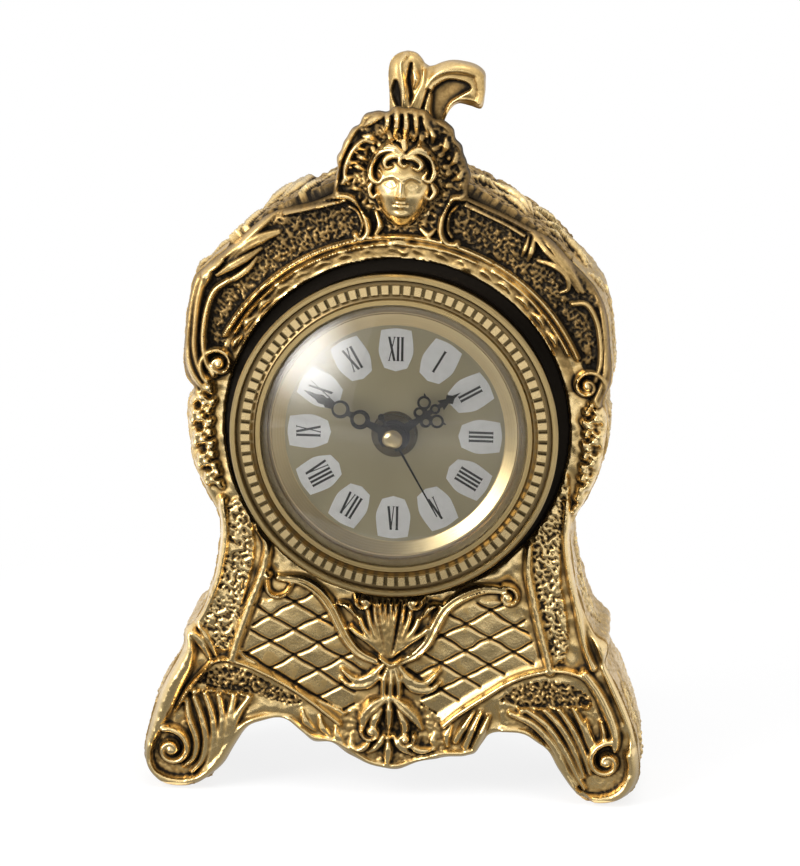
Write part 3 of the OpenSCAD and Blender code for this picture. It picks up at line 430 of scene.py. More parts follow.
class Canvas(Grid):
    def raise_to(self, win, inside, level):
        self.H[win] = np.where(inside, np.maximum(self.H[win], level), self.H[win])

    def follow(self, points, width, raw=False):
        """Round a line: the grid places, how far along it they lie and how far across, from -1 to 1."""
        line = np.array(points, float) if raw else smooth(self.to_mm(points, RELIEF), 7)
        win, off, t = self.near(line, np.max(width) / 2 + 2 * self.step)
        u = off / (spread(width, t) / 2)
        return win, t, np.clip(u, -1, 1), np.abs(u) < 1

    def band(self, points, width, height, section="round", raw=False):
        """A moulding, strap or strand; its width and height may change on the way."""
        win, t, u, inside = self.follow(points, width, raw)
        self.raise_to(win, inside, spread(height, t) * SECTIONS[section](u))

    def groove(self, points, width, depth, dark):
        """A cut along a line, toned dark."""
        win, t, u, inside = self.follow(points, width)
        shape = SECTIONS["round"](u)
        self.H[win] -= np.where(inside, spread(depth, t) * shape, 0)
        self.dark[win] = np.where(inside, np.maximum(self.dark[win], dark * shape), self.dark[win])

    def leaf(self, points, width, height, veins=1, deep=0.5, raw=False):
        """A leaf: a swelling band with grooves that run along it."""
        win, t, v, inside = self.follow(points, width, raw)
        shape = np.clip(1 - v * v, 0, 1) ** 0.45
        waves = 0.5 + 0.5 * np.cos(2 * np.pi * veins * v)
        grooves = deep * waves * np.clip(1.2 - np.abs(v), 0, 1) * (shape > 0.3)
        self.raise_to(win, inside, spread(height, t) * shape - grooves)

    def ball(self, point, r, height, raw=False):
        c = np.array(point, float) if raw else self.to_mm([point], RELIEF)[0]
        win, off, _ = self.near(np.array([c, c + [1e-4, 0]]), r + self.step)
        d = np.abs(off) / r
        self.raise_to(win, d < 1, height * np.sqrt(np.clip(1 - d * d, 0, 1)))

    def curl(self, point, r0, r1, start, turns, width, height):
        """A volute: a strand that winds into its eye."""
        c = self.to_mm([point], RELIEF)[0]
        k = np.linspace(0, 1, max(8, int(abs(turns) * 28)))
        a, r = np.radians(start + 360 * turns * k), r0 * (r1 / r0) ** k
        self.band(np.stack([c[0] + r * np.cos(a), c[1] + r * np.sin(a)], 1), width, height, raw=True)
        self.ball(c, r1 + np.atleast_1d(width)[-1] / 2, np.atleast_1d(height)[-1] + 0.3, raw=True)

    def ground(self, points, level, dark, rough):
        """A sunk field with a punched surface, toned dark."""
        m = self.inside(smooth(self.to_mm(points + points[:1], SUNK)))
        self.H[m] = level + rough * self.punch[m]
        self.dark[m] = np.maximum(self.dark[m], dark)
        return m

    def pitted(self, points, level):
        """A bright field with small dark pits."""
        m = self.ground(points, level, 0.05, 0.0)
        pits = np.clip(-self.punch[m] - 0.1, 0, 0.6)
        self.H[m] -= 1.1 * pits
        self.dark[m] = 1.5 * pits


def carve(move, strokes):
    """Makes one kind of move for each stroke: its stations, then its sizes."""
    for stroke in strokes:
        move(*stroke)


print("moves: band, groove, leaf, ball, curl, ground, pitted")

# %% [markdown]
# ## The outline
# The casting is not quite symmetrical: the left apron runs in one sweep, the right one has a step.
# The stations go up the left side, over the shell, down the right side and back under the apron.

# %% Outline of the casting
LEFT = [(-57.5, 0), (-62, 0), (-65.9, 1.3), (-69.2, 5.2), (-70, 10), (-69.2, 15.4), (-66.8, 24.3),
        (-64.2, 30.8), (-61, 36.8), (-59, 41.4), (-58.9, 45.7), (-56.2, 48.3), (-53.5, 52.6),
        (-51.4, 58.6), (-49.8, 64.8), (-48.7, 76.2), (-49.9, 81.3), (-53, 86.9), (-56.2, 93.9),
        (-57.5, 101.5), (-58.1, 110.6), (-56.3, 115.1), (-58.6, 119.6), (-59.3, 125.6), (-58.3, 137.8),
        (-56.3, 146.4), (-53.4, 149.8), (-47, 155.3), (-41, 160.8), (-36.2, 164.6), (-31, 166.6),
        (-24, 168.4), (-18.5, 170.8)]
SHELL = [(-18.3, 171.1), (-17.4, 180.2), (-14.4, 187.5), (-10.4, 191.7), (-4.6, 194), (0.5, 194.6),
         (6, 193.6), (10.9, 191.2), (14.4, 187.4), (17, 182.1), (18.4, 176), (18.2, 171)]
RIGHT = [(18.5, 170.6), (27.5, 166.9), (35, 163.2), (41, 160), (47, 153.9), (53.2, 147.5), (56.7, 140.5),
         (58.3, 129.2), (58.6, 121), (56.4, 115.4), (57.9, 110.6), (57.3, 101.5), (55.4, 93.9), (52, 86.4),
         (49.2, 81), (48.6, 76.4), (49.9, 66.8), (51.8, 59.2), (54, 53.4), (56.4, 49), (59.6, 46.6),
         (60, 44.4), (59.4, 40.6), (61.6, 36.4), (64.6, 30.2), (67.4, 23.2), (69.4, 15.5), (70, 9.8),
         (69.2, 5.4), (65.4, 1.4), (61, 0), (57, 0)]
APRON = [(53.3, 1.9), (50, 5.8), (46.8, 10.2), (44, 15), (41.2, 17.2), (37, 19.3), (31.5, 19.6),
         (27.6, 18.7), (25.7, 15.8), (24.1, 12.8), (21.4, 12.2), (16.4, 11.9), (10.9, 10.4), (5.4, 8.6),
         (-0.1, 7.3), (-6.5, 8.7), (-11.3, 11.1), (-16.8, 13.9), (-21.8, 14.6), (-25.2, 17.4),
         (-28.9, 20.4), (-33, 20.9), (-38.5, 19.5), (-41.8, 16.8), (-45.3, 11.1), (-48.2, 6.5),
         (-51.2, 3.3), (-55.3, 0.6)]


def even(line, step):
    """The same line with evenly spaced points."""
    run = np.concatenate([[0], np.cumsum(np.hypot(*np.diff(line, axis=0).T))])
    s = np.linspace(0, run[-1], max(2, int(run[-1] / step)))
    return np.stack([np.interp(s, run, line[:, 0]), np.interp(s, run, line[:, 1])], 1)


def lobed(line, count, deep):
    """A leafy edge: small lobes stand out of the line, smaller towards its ends."""
    t = np.linspace(0, 1, len(line))
    d = np.gradient(line, axis=0)
    n = np.stack([-d[:, 1], d[:, 0]], 1) / np.hypot(*d.T)[:, None]
    lobes = sum(share * np.sin(2 * np.pi * rate * count * t + phase)
                for share, rate, phase in ((0.5, 1, 0), (0.45, 0.63, 1.3), (0.3, 1.71, 0.4)))
    return line + n * (deep * np.sin(np.pi * t) ** 0.5 * lobes)[:, None]


edge = []
for stations, lobes, deep in ((LEFT, 1, 0), (SHELL, 9, 0.75), (RIGHT, 1, 0), (APRON, 9, 0.45)):
    edge.append(lobed(even(smooth(stations, 6), 0.45), lobes, deep)[:-1])
edge = np.concatenate(edge)
front = Canvas(-72, 72, -1.2, 197, 0.3, seen_at)
X, Z = front.X, front.Z
R = np.hypot(X, Z - DIAL_Z)
on_casting = front.inside(edge)
edge_gap = front.gap(edge[::3])
print("outline:", len(edge), "points; canvas", X.shape)

# %% [markdown]
# ## Carving the legs and feet
# Each leg has a rolled outer rim, a punched strip and a smooth bar beside the panel. At the knee
# a broad strap starts in a pointed ear and sweeps down into the foot, whose rim runs round a volute.
# Long flutes fan out between the strap and the rim.

# %% Base form, legs and ears
H, dark = front.H, front.dark
near_insert, to_the_top = np.clip(1 - (R - 50) / 22, 0, 1), np.clip((Z - 118) / 40, 0, 1)
H[:] = 1.6 + 2.2 * near_insert * to_the_top + 0.22 * front.swell
brow = (R > 54.6) & (Z > 114)
H[brow] = 2.4 + 0.5 * front.punch[brow]
dark[brow] = np.where(X > 10, 0.9, 0.74)[brow]
LEG_STRIPS = [
    [(222, 508), (245, 500), (252, 540), (252, 562), (243, 597), (232, 637), (222, 657), (205, 648),
     (198, 632), (206, 602), (218, 570), (224, 540)],
    [(533, 545), (548, 500), (566, 470), (569, 500), (562, 540), (562, 580), (568, 612), (570, 640),
     (566, 660), (556, 665), (548, 640), (539, 600)],
]
LEG_BARS = [
    ([(221, 503), (223, 540), (218, 570), (208, 600), (193, 627)], 3.0, 4.2),
    ([(567, 500), (566, 540), (571, 575), (578, 605), (585, 640), (595, 668)], 2.6, 4.4),
    ([(573, 548), (580, 585), (590, 618), (603, 650), (612, 676)], 2.6, 4.0),
    ([(257, 532), (265, 546), (264, 564), (257, 586), (248, 608), (240, 630), (233, 650), (229, 665)],
     [2.2, 3.4, 3.4, 3.6, 3.6], 4.8),
    ([(530, 545), (529, 570), (534, 598), (541, 628), (548, 655), (552, 672)], [2.6, 3.4, 3.4, 3.4], 4.8),
    ([(183, 636), (186, 655), (180, 672), (170, 688), (163, 705), (157, 722), (150, 738), (143, 754)],
     [1.6, 3.2, 5.6, 7.0, 6.6, 5, 4.2, 3], [4.0, 4.8, 5.2, 5.4, 5.2, 5, 4.6, 4.4]),
    ([(208, 668), (196, 682), (184, 696), (175, 712), (168, 728), (162, 742)], [1.2, 1.6, 1.8, 1.6, 1.4],
     5.2),
    ([(586, 672), (600, 692), (610, 712), (617, 732), (618, 748), (612, 757)], [3.0, 3.4, 3.6, 3.4, 2.6],
     5.2),
    ([(606, 668), (618, 694), (628, 716), (636, 738), (634, 752)], [3, 4.4, 4.8, 4.4, 3],
     [3.4, 3.2, 3.0, 3.0, 3.2], "soft"),
]
EARS = [
    ([(205, 664), (194, 645), (181, 634)], [1.6, 3.4, 2.0], [3.6, 4.4, 4.6]),
    ([(212, 662), (202, 642), (192, 628)], [1.4, 2.6, 1.4], [3.4, 4.2, 4.0], 1, 0.4),
    ([(600, 612), (603, 606), (608, 607)], [3, 2.4, 1.6], [3.4, 4.0, 4.0], 1, 0.3),
    ([(584, 596), (594, 602), (606, 606)], [1.8, 2.8, 2.0], [3.0, 4.2, 4.0], 1, 0.3),
]
for stations in LEG_STRIPS:
    front.pitted(stations, 2.7)
carve(front.band, LEG_BARS)
carve(front.leaf, EARS)
print("legs carved:", len(LEG_BARS), "bars")

# %% Feet
FOOT_RIMS = [
    ([(141, 756), (139, 770), (145, 783), (157, 791), (172, 794), (187, 791), (201, 784), (213, 771),
      (223, 756), (234, 741), (248, 732), (266, 728), (284, 729)], [4.4, 5.2, 5.2, 4.6, 3.2],
     [4.8, 4.8, 4.6, 4.0, 3.4]),
    ([(634, 756), (636, 772), (630, 788), (618, 799), (600, 802), (586, 798), (574, 784), (562, 768),
      (550, 750), (538, 741), (522, 737), (504, 736)], [4.2, 4.8, 5.0, 4.4, 3.0],
     [4.6, 4.8, 4.6, 4.0, 3.4]),
]
FOOT_GROUNDS = [
    ([(168, 722), (190, 700), (235, 700), (250, 706), (238, 728), (224, 745), (212, 764), (196, 783),
      (170, 788), (150, 780), (146, 762), (158, 742)], 1.8, 0.12, 0.2),
    ([(500, 704), (540, 702), (590, 702), (605, 720), (610, 740), (630, 770), (618, 792), (590, 796),
      (570, 776), (552, 750), (530, 732), (505, 727)], 1.8, 0.12, 0.2),
]
FLUTES = [
    ([(181, 708), (184, 728), (191, 750), (188, 768), (178, 778)], 1.9),
    ([(189, 706), (197, 728), (201, 750), (197, 770), (186, 784)], 2.0),
    ([(200, 702), (208, 726), (209, 750), (204, 772), (193, 787)], 2.0),
    ([(214, 703), (218, 726), (215, 750), (208, 770), (200, 780)], 2.0),
    ([(230, 704), (226, 724), (222, 746), (213, 764)], 2.2),
    ([(246, 705), (234, 722), (226, 742), (218, 758)], 2.0),
    ([(512, 716), (536, 727), (556, 748), (570, 774), (580, 788)], 2.1),
    ([(528, 712), (550, 728), (567, 752), (580, 778), (588, 792)], 2.0),
    ([(545, 710), (563, 728), (577, 752), (587, 780)], 2.0),
    ([(560, 709), (574, 728), (585, 750), (593, 776)], 1.9),
    ([(575, 708), (585, 726), (592, 745), (597, 760)], 1.8),
    ([(588, 722), (592, 736), (600, 750)], 1.6),
    ([(604, 722), (607, 736), (602, 750)], 1.4),
]
FLUTE_ENDS = [(190, 700), (207, 697), (224, 699), (240, 700), (524, 712), (541, 708), (557, 706),
              (573, 705), (588, 706)]
FOOT_VOLUTES = [
    ((165, 760), 6.4, 1.3, 110, -1.35, [3.0, 2.6, 2.0], [5.2, 5.4, 5.4]),
    ((610, 763), 6.0, 1.2, 80, 1.35, [2.9, 2.5, 1.8], [5.2, 5.4, 5.4]),
]
KNEE_GROUNDS = [
    ([(192, 690), (206, 678), (226, 673), (252, 682), (282, 697), (300, 708), (282, 710), (248, 700),
      (215, 696)], 1.4, 0.75, 0.7),
    ([(500, 703), (520, 688), (545, 682), (570, 684), (588, 694), (594, 703), (570, 706), (530, 708)], 1.4,
     0.75, 0.7),
]
KNEE_STRAPS = [
    ([(206, 670), (220, 666), (240, 670), (262, 679), (285, 691), (308, 706), (330, 723), (350, 739)],
     [1.4, 1.8, 1.9, 1.9], 4.6),
    ([(238, 662), (262, 672), (286, 685), (308, 699), (330, 714), (352, 729)], 4.4, 3.6, "slope"),
    ([(595, 684), (580, 674), (560, 670), (538, 673), (512, 682), (485, 699), (460, 716), (436, 736)],
     [1.8, 2.2, 2.4, 2.4], 4.8),
    ([(548, 664), (522, 674), (498, 685), (474, 700), (450, 716), (428, 731)], 4.4, 3.4, "slope"),
]
carve(front.band, FOOT_RIMS)
carve(front.ground, FOOT_GROUNDS)
for line, w in FLUTES:
    front.leaf(line, [w, w * 1.35, w * 1.35, w * 0.8], [3.8, 4.7, 4.7, 3.8])
for p in FLUTE_ENDS:
    front.ball(p, 1.6, 4.3)
carve(front.curl, FOOT_VOLUTES)
carve(front.ground, KNEE_GROUNDS)
carve(front.band, KNEE_STRAPS)
print("feet carved:", len(FLUTES), "flutes")

# %% [markdown]
# ## The lattice panel, the scroll straps and the palmette
# The panel is flat and bright, with scored lines that cross in lozenges. Two straps with curled
# ends swing over it from the palmette, which opens under the bezel like a fan.

# %% Lattice
TILT, HALF = math.radians(29.7), 6.8          # slope of the scored lines, half width of a lozenge
PANELS = [
    ((-27.7, 47.6), [(266, 604), (300, 590), (318, 604), (334, 628), (348, 650), (372, 668), (356, 690),
                     (352, 716), (330, 710), (300, 694), (270, 676), (240, 658), (248, 634), (258, 606)]),
    ((27.2, 47.2), [(404, 668), (428, 650), (440, 628), (456, 610), (492, 600), (520, 606), (531, 634),
                    (540, 660), (512, 672), (480, 690), (452, 708), (424, 722), (420, 694)]),
]
pitch = 2 * HALF * math.sin(TILT)
for crossing, loop in PANELS:
    m = front.inside(smooth(seen_at(loop + loop[:1], SUNK)))
    H[m] = 1.9 + 0.035 * front.swell[m]
    smudge = 0.5 * np.clip(front.swell - 0.9, 0, 1)[m]
    for s in (-1, 1):
        across = (X - crossing[0]) * -math.sin(s * TILT) + (Z - crossing[1]) * math.cos(s * TILT)
        across = across + 0.12 * front.swell
        k = np.abs(across / pitch - np.round(across / pitch)) * pitch
        H[m] -= (0.95 * np.clip(1 - k / 0.5, 0, 1) ** 0.6)[m]
        dark[m] = np.maximum.reduce([dark[m], (0.9 * np.clip(1.5 - k / 0.3, 0, 1))[m], smudge])
PANEL_STRAPS = [
    ([(277, 581), (300, 584), (317, 594), (329, 609), (338, 627), (347, 644), (359, 657), (376, 665)],
     [2.4, 3.6, 4, 4, 4, 3.4, 2.4], 4.6, "double"),
    ([(505, 590), (485, 589), (463, 597), (446, 610), (436, 627), (427, 645), (414, 658), (400, 665)],
     [2.6, 3.6, 4, 4, 4, 3.4, 2.4], 4.8, "double"),
    ([(290, 588), (284, 597), (274, 600), (266, 594), (265, 580)], [1.4, 1.7, 1.9, 1.8, 1.6], 4.8),
]
LEFT_END, RIGHT_END = (266, 579), (509, 597)
carve(front.band, PANEL_STRAPS)
front.ball(LEFT_END, 1.4, 5.4)
front.curl(RIGHT_END, 3.4, 1.0, 110, -1.15, [2.0, 1.7, 1.4], 4.8)
print("lattice pitch", round(pitch, 2), "mm")

# %% Palmette
PALMETTE_GROUND = [
    ([(352, 604), (376, 598), (402, 598), (430, 602), (424, 640), (396, 662), (384, 662), (358, 634)], 2.6,
     0.35, 0.1),
]
MIDDLE = 389                                  # the panel's middle line in the picture
KNOT = [(380, 659), (391, 666), (402, 660)]
carve(front.ground, PALMETTE_GROUND)
for x in (379, 385, 391, 397):
    rib = [(388.5 + (x - 388) * 0.12, 660), (388.5 + (x - 388) * 0.55, 634), (x, 604)]
    front.leaf(rib, [0.8, 1.5, 1.8, 1.5], [4.6, 5.4, 5.8], deep=0.3)
for side in (-1, 1):
    for dx, y, w in ((15, 605, 2.0), (22, 611, 2.2), (30, 620, 2.4), (39, 630, 2.4)):
        reach = side * dx
        rib = [(MIDDLE + side * 2, 661), (MIDDLE + reach * 0.5, 648 - 0.1 * dx),
               (MIDDLE + reach * 0.85, 0.5 * (y + 640)), (MIDDLE + reach, y)]
        front.leaf(rib, [0.8, w * 0.8, w, w * 0.8], [4.6, 5.2, 5.6, 5.0], deep=0.6)
    front.curl((MIDDLE + side * 25, 603), 2.5, 0.8, 90 - 60 * side, -1.1 * side, [1.7, 1.3], 5.8)
    tip = [(MIDDLE + side * 34, 618), (MIDDLE + side * 42, 608), (MIDDLE + side * 52, 606)]
    front.leaf(tip, [1.2, 2.4, 1.0], [4.8, 5.4, 4.4])
front.band(KNOT, [1.6, 2.4, 1.6], 6.4)
print("palmette carved")

# %% Husk and apron
HUSK_GROUND = [
    ([(340, 722), (370, 704), (408, 704), (440, 722), (440, 764), (388, 782), (345, 760)], 2.1, 0.35, 0.4),
]
UNDER_KNOT = [
    [(389, 667), (384, 682), (383, 699)],
    [(391, 668), (391, 684), (390, 702)],
    [(393, 667), (398, 682), (399, 699)],
]
SPREAD_LEAVES = [
    [(383, 668), (370, 680), (355, 684), (341, 674)],
    [(380, 680), (366, 689), (350, 690), (340, 684)],
    [(398, 668), (408, 681), (424, 687), (440, 673)],
    [(402, 681), (414, 692), (430, 693), (441, 685)],
]
HUSK = [
    ([(386, 702), (374, 710), (364, 722), (362, 738)], 5.6),
    ([(393, 702), (404, 711), (415, 722), (422, 734)], 5.0),
    ([(389, 700), (389, 722), (388, 742)], 3.0),
    ([(381, 714), (373, 728), (375, 744)], 3.6),
    ([(398, 714), (405, 730), (402, 746)], 3.4),
    ([(384, 738), (378, 750), (366, 760)], 3.0),
    ([(393, 740), (401, 752), (414, 761)], 3.0),
    ([(388, 744), (388, 758), (386, 774)], 3.4),
    ([(370, 746), (360, 755), (348, 754)], 2.8),
    ([(408, 748), (420, 755), (436, 754)], 2.8),
]
HUSK_VOLUTES = [
    ((371, 737), 3.0, 0.9, 160, 1.1, [1.9, 1.5], 5.6),
    ((405, 744), 2.8, 0.9, 30, -1.1, [1.9, 1.5], 5.4),
]
APRON_RIMS = [
    ([(286, 728), (298, 737), (312, 746), (332, 749), (350, 758), (368, 770), (386, 774)], 2.2, 3.4),
    ([(478, 755), (462, 759), (440, 760), (420, 767), (402, 772), (386, 774)], 2.2, 3.4),
]
TONGUES = [
    ((300, 718), (312, 738)),
    ((318, 724), (328, 744)),
    ((334, 735), (342, 750)),
    ((350, 744), (356, 758)),
    ((420, 740), (418, 758)),
    ((436, 738), (436, 754)),
    ((452, 730), (448, 752)),
]
STEP_LEAVES = [
    [(482, 714), (473, 734), (466, 752)],
    [(490, 720), (482, 738), (476, 752)],
    [(474, 716), (464, 732), (456, 746)],
]
carve(front.ground, HUSK_GROUND)
for line in UNDER_KNOT:
    front.leaf(line, [1.4, 2.4, 1.8], [4.6, 5.4, 4.6], deep=0.4)
for line in SPREAD_LEAVES:
    front.leaf(line, [1.8, 3.0, 2.8, 1.2], [4.4, 5.0, 4.6, 4.0])
for line, w in HUSK:
    front.leaf(line, [w * 0.5, w, w * 0.85, w * 0.3], [4.8, 5.6, 5.2, 3.8], 1.5, 0.7)
front.ball((388, 741), 1.4, 6.4)
carve(front.curl, HUSK_VOLUTES)
carve(front.band, APRON_RIMS)
for p, q in TONGUES:
    front.leaf([p, ((p[0] + q[0]) / 2 - 3, (p[1] + q[1]) / 2), q], [1.2, 3.0, 1.2], [3.0, 3.6, 3.0],
               deep=0.4)
for line in STEP_LEAVES:
    front.leaf(line, [1.4, 2.6, 2.4], [3.4, 4.4, 3.6], deep=0.4)
print("husk and apron carved:", len(HUSK), "leaves in the husk")

# %% [markdown]
# ## Sides, shoulders and brow
# Beside the bezel hang pendants of leaves and berries. Over them each shoulder ends in a volute
# with three rims. Mouldings run round the insert, and two toned panels with curled frames
# lead up to the shell.

# %% Pendants and shoulders
PENDANTS = [([(203, 392), (201, 412), (203, 434), (206, 456), (212, 474)], 1),
            ([(593, 408), (592, 430), (590, 452), (587, 474), (582, 494)], -1)]
BERRIES = [(-8, 4, 1.7), (7, 2, 1.6), (-2, 9, 1.9), (3, -5, 1.4), (-11, 13, 1.3), (10, 12, 1.3)]
SHOULDER_GROUNDS = [
    ([(226, 289), (238, 290), (243, 302), (232, 328), (224, 348), (212, 352), (207, 332), (212, 308)], 1.6,
     0.9, 0.5),
    ([(556, 300), (584, 306), (594, 322), (598, 350), (596, 372), (584, 368), (570, 345), (556, 318)], 1.6,
     0.95, 0.5),
]
SHOULDER_RIMS = [
    ([(206, 268), (196, 300), (192, 330), (191, 354), (196, 374), (206, 388)], 5.4, 5.2),
    ([(230, 284), (216, 294), (208, 312), (204, 334), (204, 352), (207, 366), (214, 378)], 2.4, 5.2),
    ([(590, 272), (601, 300), (606, 330), (607, 356), (604, 380), (597, 398)], 4.8, 5.0),
    ([(570, 303), (584, 304), (594, 320), (598, 342), (598, 362), (594, 378)], 2.2, 4.8),
]
SHOULDER_VOLUTES = [
    ((219, 367), 6.0, 1.2, -120, -1.55, [2.4, 2.0, 1.6], 5.2),
    ((586, 384), 6.0, 1.2, -60, 1.55, [2.4, 2.0, 1.6], 5.2),
]
for stations, s in PENDANTS:
    for k, (x, y) in enumerate(stations):
        for dx, dy, r in BERRIES:
            front.ball((x + s * dx * (1 - 0.1 * k), y + dy), r, 4.4)
        front.leaf([(x, y), (x - 9 * s, y + 10)], [1.2, 2.4], [4.6, 4.2])
        front.leaf([(x, y + 8), (x + 8 * s, y + 16)], [1.2, 2.2], [4.6, 4.2])
carve(front.ground, SHOULDER_GROUNDS)
for line, w, top in SHOULDER_RIMS:
    front.band(line, w, top, "double" if w > 4 else "round")
carve(front.curl, SHOULDER_VOLUTES)
print("pendants and volutes carved")


# %% Mouldings round the insert
def arc(r, a0, a1, n=60):
    a = np.radians(np.linspace(a0, a1, n))
    return np.stack([r * np.cos(a), DIAL_Z + r * np.sin(a)], 1)


ARCHES = [(54.0, 152, 62, 2.0, 5.4), (51.9, 150, 66, 1.3, 4.8),
          (54.0, 62, 24, [1.4, 2.0, 2.0], [4.4, 4.6, 5.2]), (52.0, 60, 26, 1.3, 4.4),
          (48.3, 152, 28, 1.0, 3.8)]
for r, a0, a1, w, top in ARCHES:
    front.band(arc(r, a0, a1), w, top, raw=True)
frieze = (R > 48.6) & (R < 51.6) & (Z > 118)
dark[frieze] = np.maximum(dark[frieze], 0.55)
bow = np.array([[0, 0], [0.3, 0.5], [0, 0.9], [-0.3, 0.5], [0, 0]])
for a in np.arange(30, 152, 7.5):
    front.leaf(arc(50.0, a, a + 5, 5) + bow, [1.2, 2.4, 1.0], [4.2, 4.8, 3.8], raw=True)
print("arch mouldings carved")

# %% Brow panels and their leaves
BROW_GROUNDS = [
    ([(286, 220), (310, 216), (336, 210), (352, 212), (360, 228), (352, 240), (328, 244), (300, 252),
      (276, 262), (262, 262), (268, 246), (280, 238)], 2.6, 0.95, 0.6),
    ([(456, 208), (480, 214), (505, 226), (524, 240), (534, 258), (560, 290), (548, 300), (520, 272),
      (490, 256), (462, 246), (450, 230)], 2.6, 1.0, 0.6),
]
BROW_FRAMES = [
    ([(282, 213), (300, 209), (320, 205), (340, 201)], 1.7, 5.6),
    ([(286, 219), (310, 214), (336, 208), (346, 205)], 1.5, 5.2),
    ([(338, 201), (350, 202), (361, 210), (367, 224), (368, 236), (362, 243), (356, 239)], 2.4, 5.8),
    ([(350, 211), (358, 216), (363, 228), (361, 238)], 1.2, 4.8),
    ([(468, 204), (485, 212), (505, 221), (526, 232)], 1.7, 5.6),
    ([(464, 209), (484, 218), (505, 228), (522, 238)], 1.2, 5.0),
    ([(464, 202), (451, 203), (443, 216), (440, 234), (446, 246), (457, 247)], 2.4, 5.8),
    ([(456, 210), (449, 218), (447, 232), (451, 240)], 1.2, 4.8),
]
BROW_LEAVES = [
    ([(216, 268), (232, 252), (250, 236), (266, 222), (280, 211)], [2.2, 5.4, 6.6, 5.6, 2.6]),
    ([(230, 266), (246, 252), (262, 243), (280, 237)], [1.8, 4.0, 4.6, 2.0]),
    ([(218, 280), (232, 271), (246, 263), (262, 253)], [1.6, 3.2, 3.4, 1.6]),
    ([(222, 287), (236, 282), (250, 272), (258, 262)], [1.0, 2.4, 2.6, 1.2]),
    ([(204, 262), (208, 276), (204, 292)], [2.4, 4.4, 2.0]),
    ([(206, 278), (214, 272), (224, 266)], [1.2, 2.6, 1.4]),
    ([(530, 218), (545, 240), (562, 264), (580, 292)], [2.0, 3.6, 3.2, 1.6]),
    ([(540, 218), (556, 238), (573, 260), (588, 284)], [1.8, 3.8, 3.4, 1.6]),
    ([(528, 232), (542, 250), (560, 268), (576, 292)], [1.4, 2.4, 2.2, 1.2]),
    ([(536, 262), (552, 266), (564, 276), (566, 288), (558, 293)], [1.6, 2.6, 2.4, 2.0, 1.2]),
    ([(526, 262), (530, 250), (532, 240)], [1.2, 2.6, 1.4]),
    ([(520, 258), (524, 248), (526, 240)], [1.0, 2.0, 1.2]),
]
BROW_BEADS = [((356, 238), 1.4, 5.6), ((456, 246), 1.4, 5.8), ((279, 214), 1.9, 5.4),
              ((534, 226), 1.9, 5.4)]
carve(front.ground, BROW_GROUNDS)
carve(front.band, BROW_FRAMES)
for line, w in BROW_LEAVES:
    front.leaf(line, w, [3.8, 5.6, 5.6, 4.0], deep=0.6)
carve(front.ball, BROW_BEADS)
print("brow carved:", len(BROW_LEAVES), "leaves")

# %% [markdown]
# ## The shell
# A fluted shell stands behind the little head. Its ribs fan out from the head's middle, and a
# rolled rim runs round it. Small leaves close it under the chin.

# %% Shell
HEAD_SEEN = (402, 190)                        # the little head's middle in the picture
HEAD = seen_at([HEAD_SEEN], 6)[0]
dice = np.random.default_rng(21)
out_of_head = np.hypot(X - HEAD[0], Z - HEAD[1])
shell_field = on_casting & (((out_of_head < 18.5) & (Z > 172.5)) | ((out_of_head < 13.4) & (Z > 163)))
H[shell_field] = 2.0 + 0.55 * front.punch[shell_field] + 0.4 * front.swell[shell_field]
dark[shell_field] = np.maximum(dark[shell_field], np.where(X > HEAD[0] + 2, 0.95, 0.72)[shell_field])


def round_head(r, a):
    return HEAD + r * np.array([math.cos(math.radians(a)), math.sin(math.radians(a))])


for a in np.arange(-46, 232, 14.0):
    r0, r1, bend = 10 + dice.uniform(0, 1.4), 13.6 + dice.uniform(-1.2, 1.4), dice.uniform(-6, 6)
    rib = [round_head(r0, a), round_head((r0 + r1) / 2, a + bend / 2), round_head(r1, a + bend)]
    front.leaf(rib, [0.9, 1.9, 2.2], [2.6, 3.7, 3.0], raw=True)
for a in np.arange(-30, 214, 17.0):
    if 62 < a < 112:
        continue
    w = dice.uniform(1.8, 2.9)
    if round_head(15, a)[1] > 172:
        rib = [round_head(13.4, a), round_head(15.2, a + 3), round_head(16.6, a + 9)]
        front.leaf(rib, [0.9, w, 1.0], [3.4, 5.0, 4.2], deep=0.6, raw=True)
        front.ball(round_head(14.4 + dice.uniform(-1, 1), a + 8.5), dice.uniform(0.6, 1.0), 4.2, raw=True)
SHELL_RIMS = [
    ([(336, 198), (336, 178), (342, 158), (352, 139), (362, 126), (376, 120)], [1.8, 3.0, 3.6, 3.2, 2.0],
     [4.6, 5.2, 5.4, 5.2, 4.4]),
    ([(345, 190), (347, 172), (354, 157), (364, 148), (374, 150)], [1.2, 2.0, 2.2, 1.6],
     [4.0, 4.8, 4.8, 4.2]),
    ([(452, 146), (462, 160), (470, 176), (469, 192), (466, 202)], [1.2, 1.8, 1.8, 1.4], 4.4),
]
SHELL_TOP = [
    ([(374, 122), (384, 115), (396, 112), (406, 116)], 3.0),
    ([(404, 116), (412, 108), (421, 112), (430, 122)], 3.0),
    ([(426, 120), (436, 126), (446, 136)], 2.8),
    ([(386, 120), (388, 130), (384, 140)], 2.0),
    ([(396, 118), (397, 131), (394, 143)], 2.2),
    ([(405, 120), (406, 132), (404, 145)], 2.2),
    ([(414, 118), (416, 131), (416, 143)], 2.0),
    ([(423, 122), (426, 133), (430, 142)], 2.0),
    ([(366, 134), (374, 128), (382, 126)], 2.2),
]
CHIN_LEAVES = [
    [(372, 243), (380, 230), (376, 216)],
    [(383, 238), (392, 244), (404, 244), (414, 240)],
    [(420, 232), (428, 238), (436, 232)],
    [(396, 250), (404, 255), (412, 248)],
]
carve(front.band, SHELL_RIMS)
for line, w in SHELL_TOP:
    front.leaf(line, [1.0, w, w, 1.0], [4.0, 5.4, 5.0, 3.6], deep=0.8)
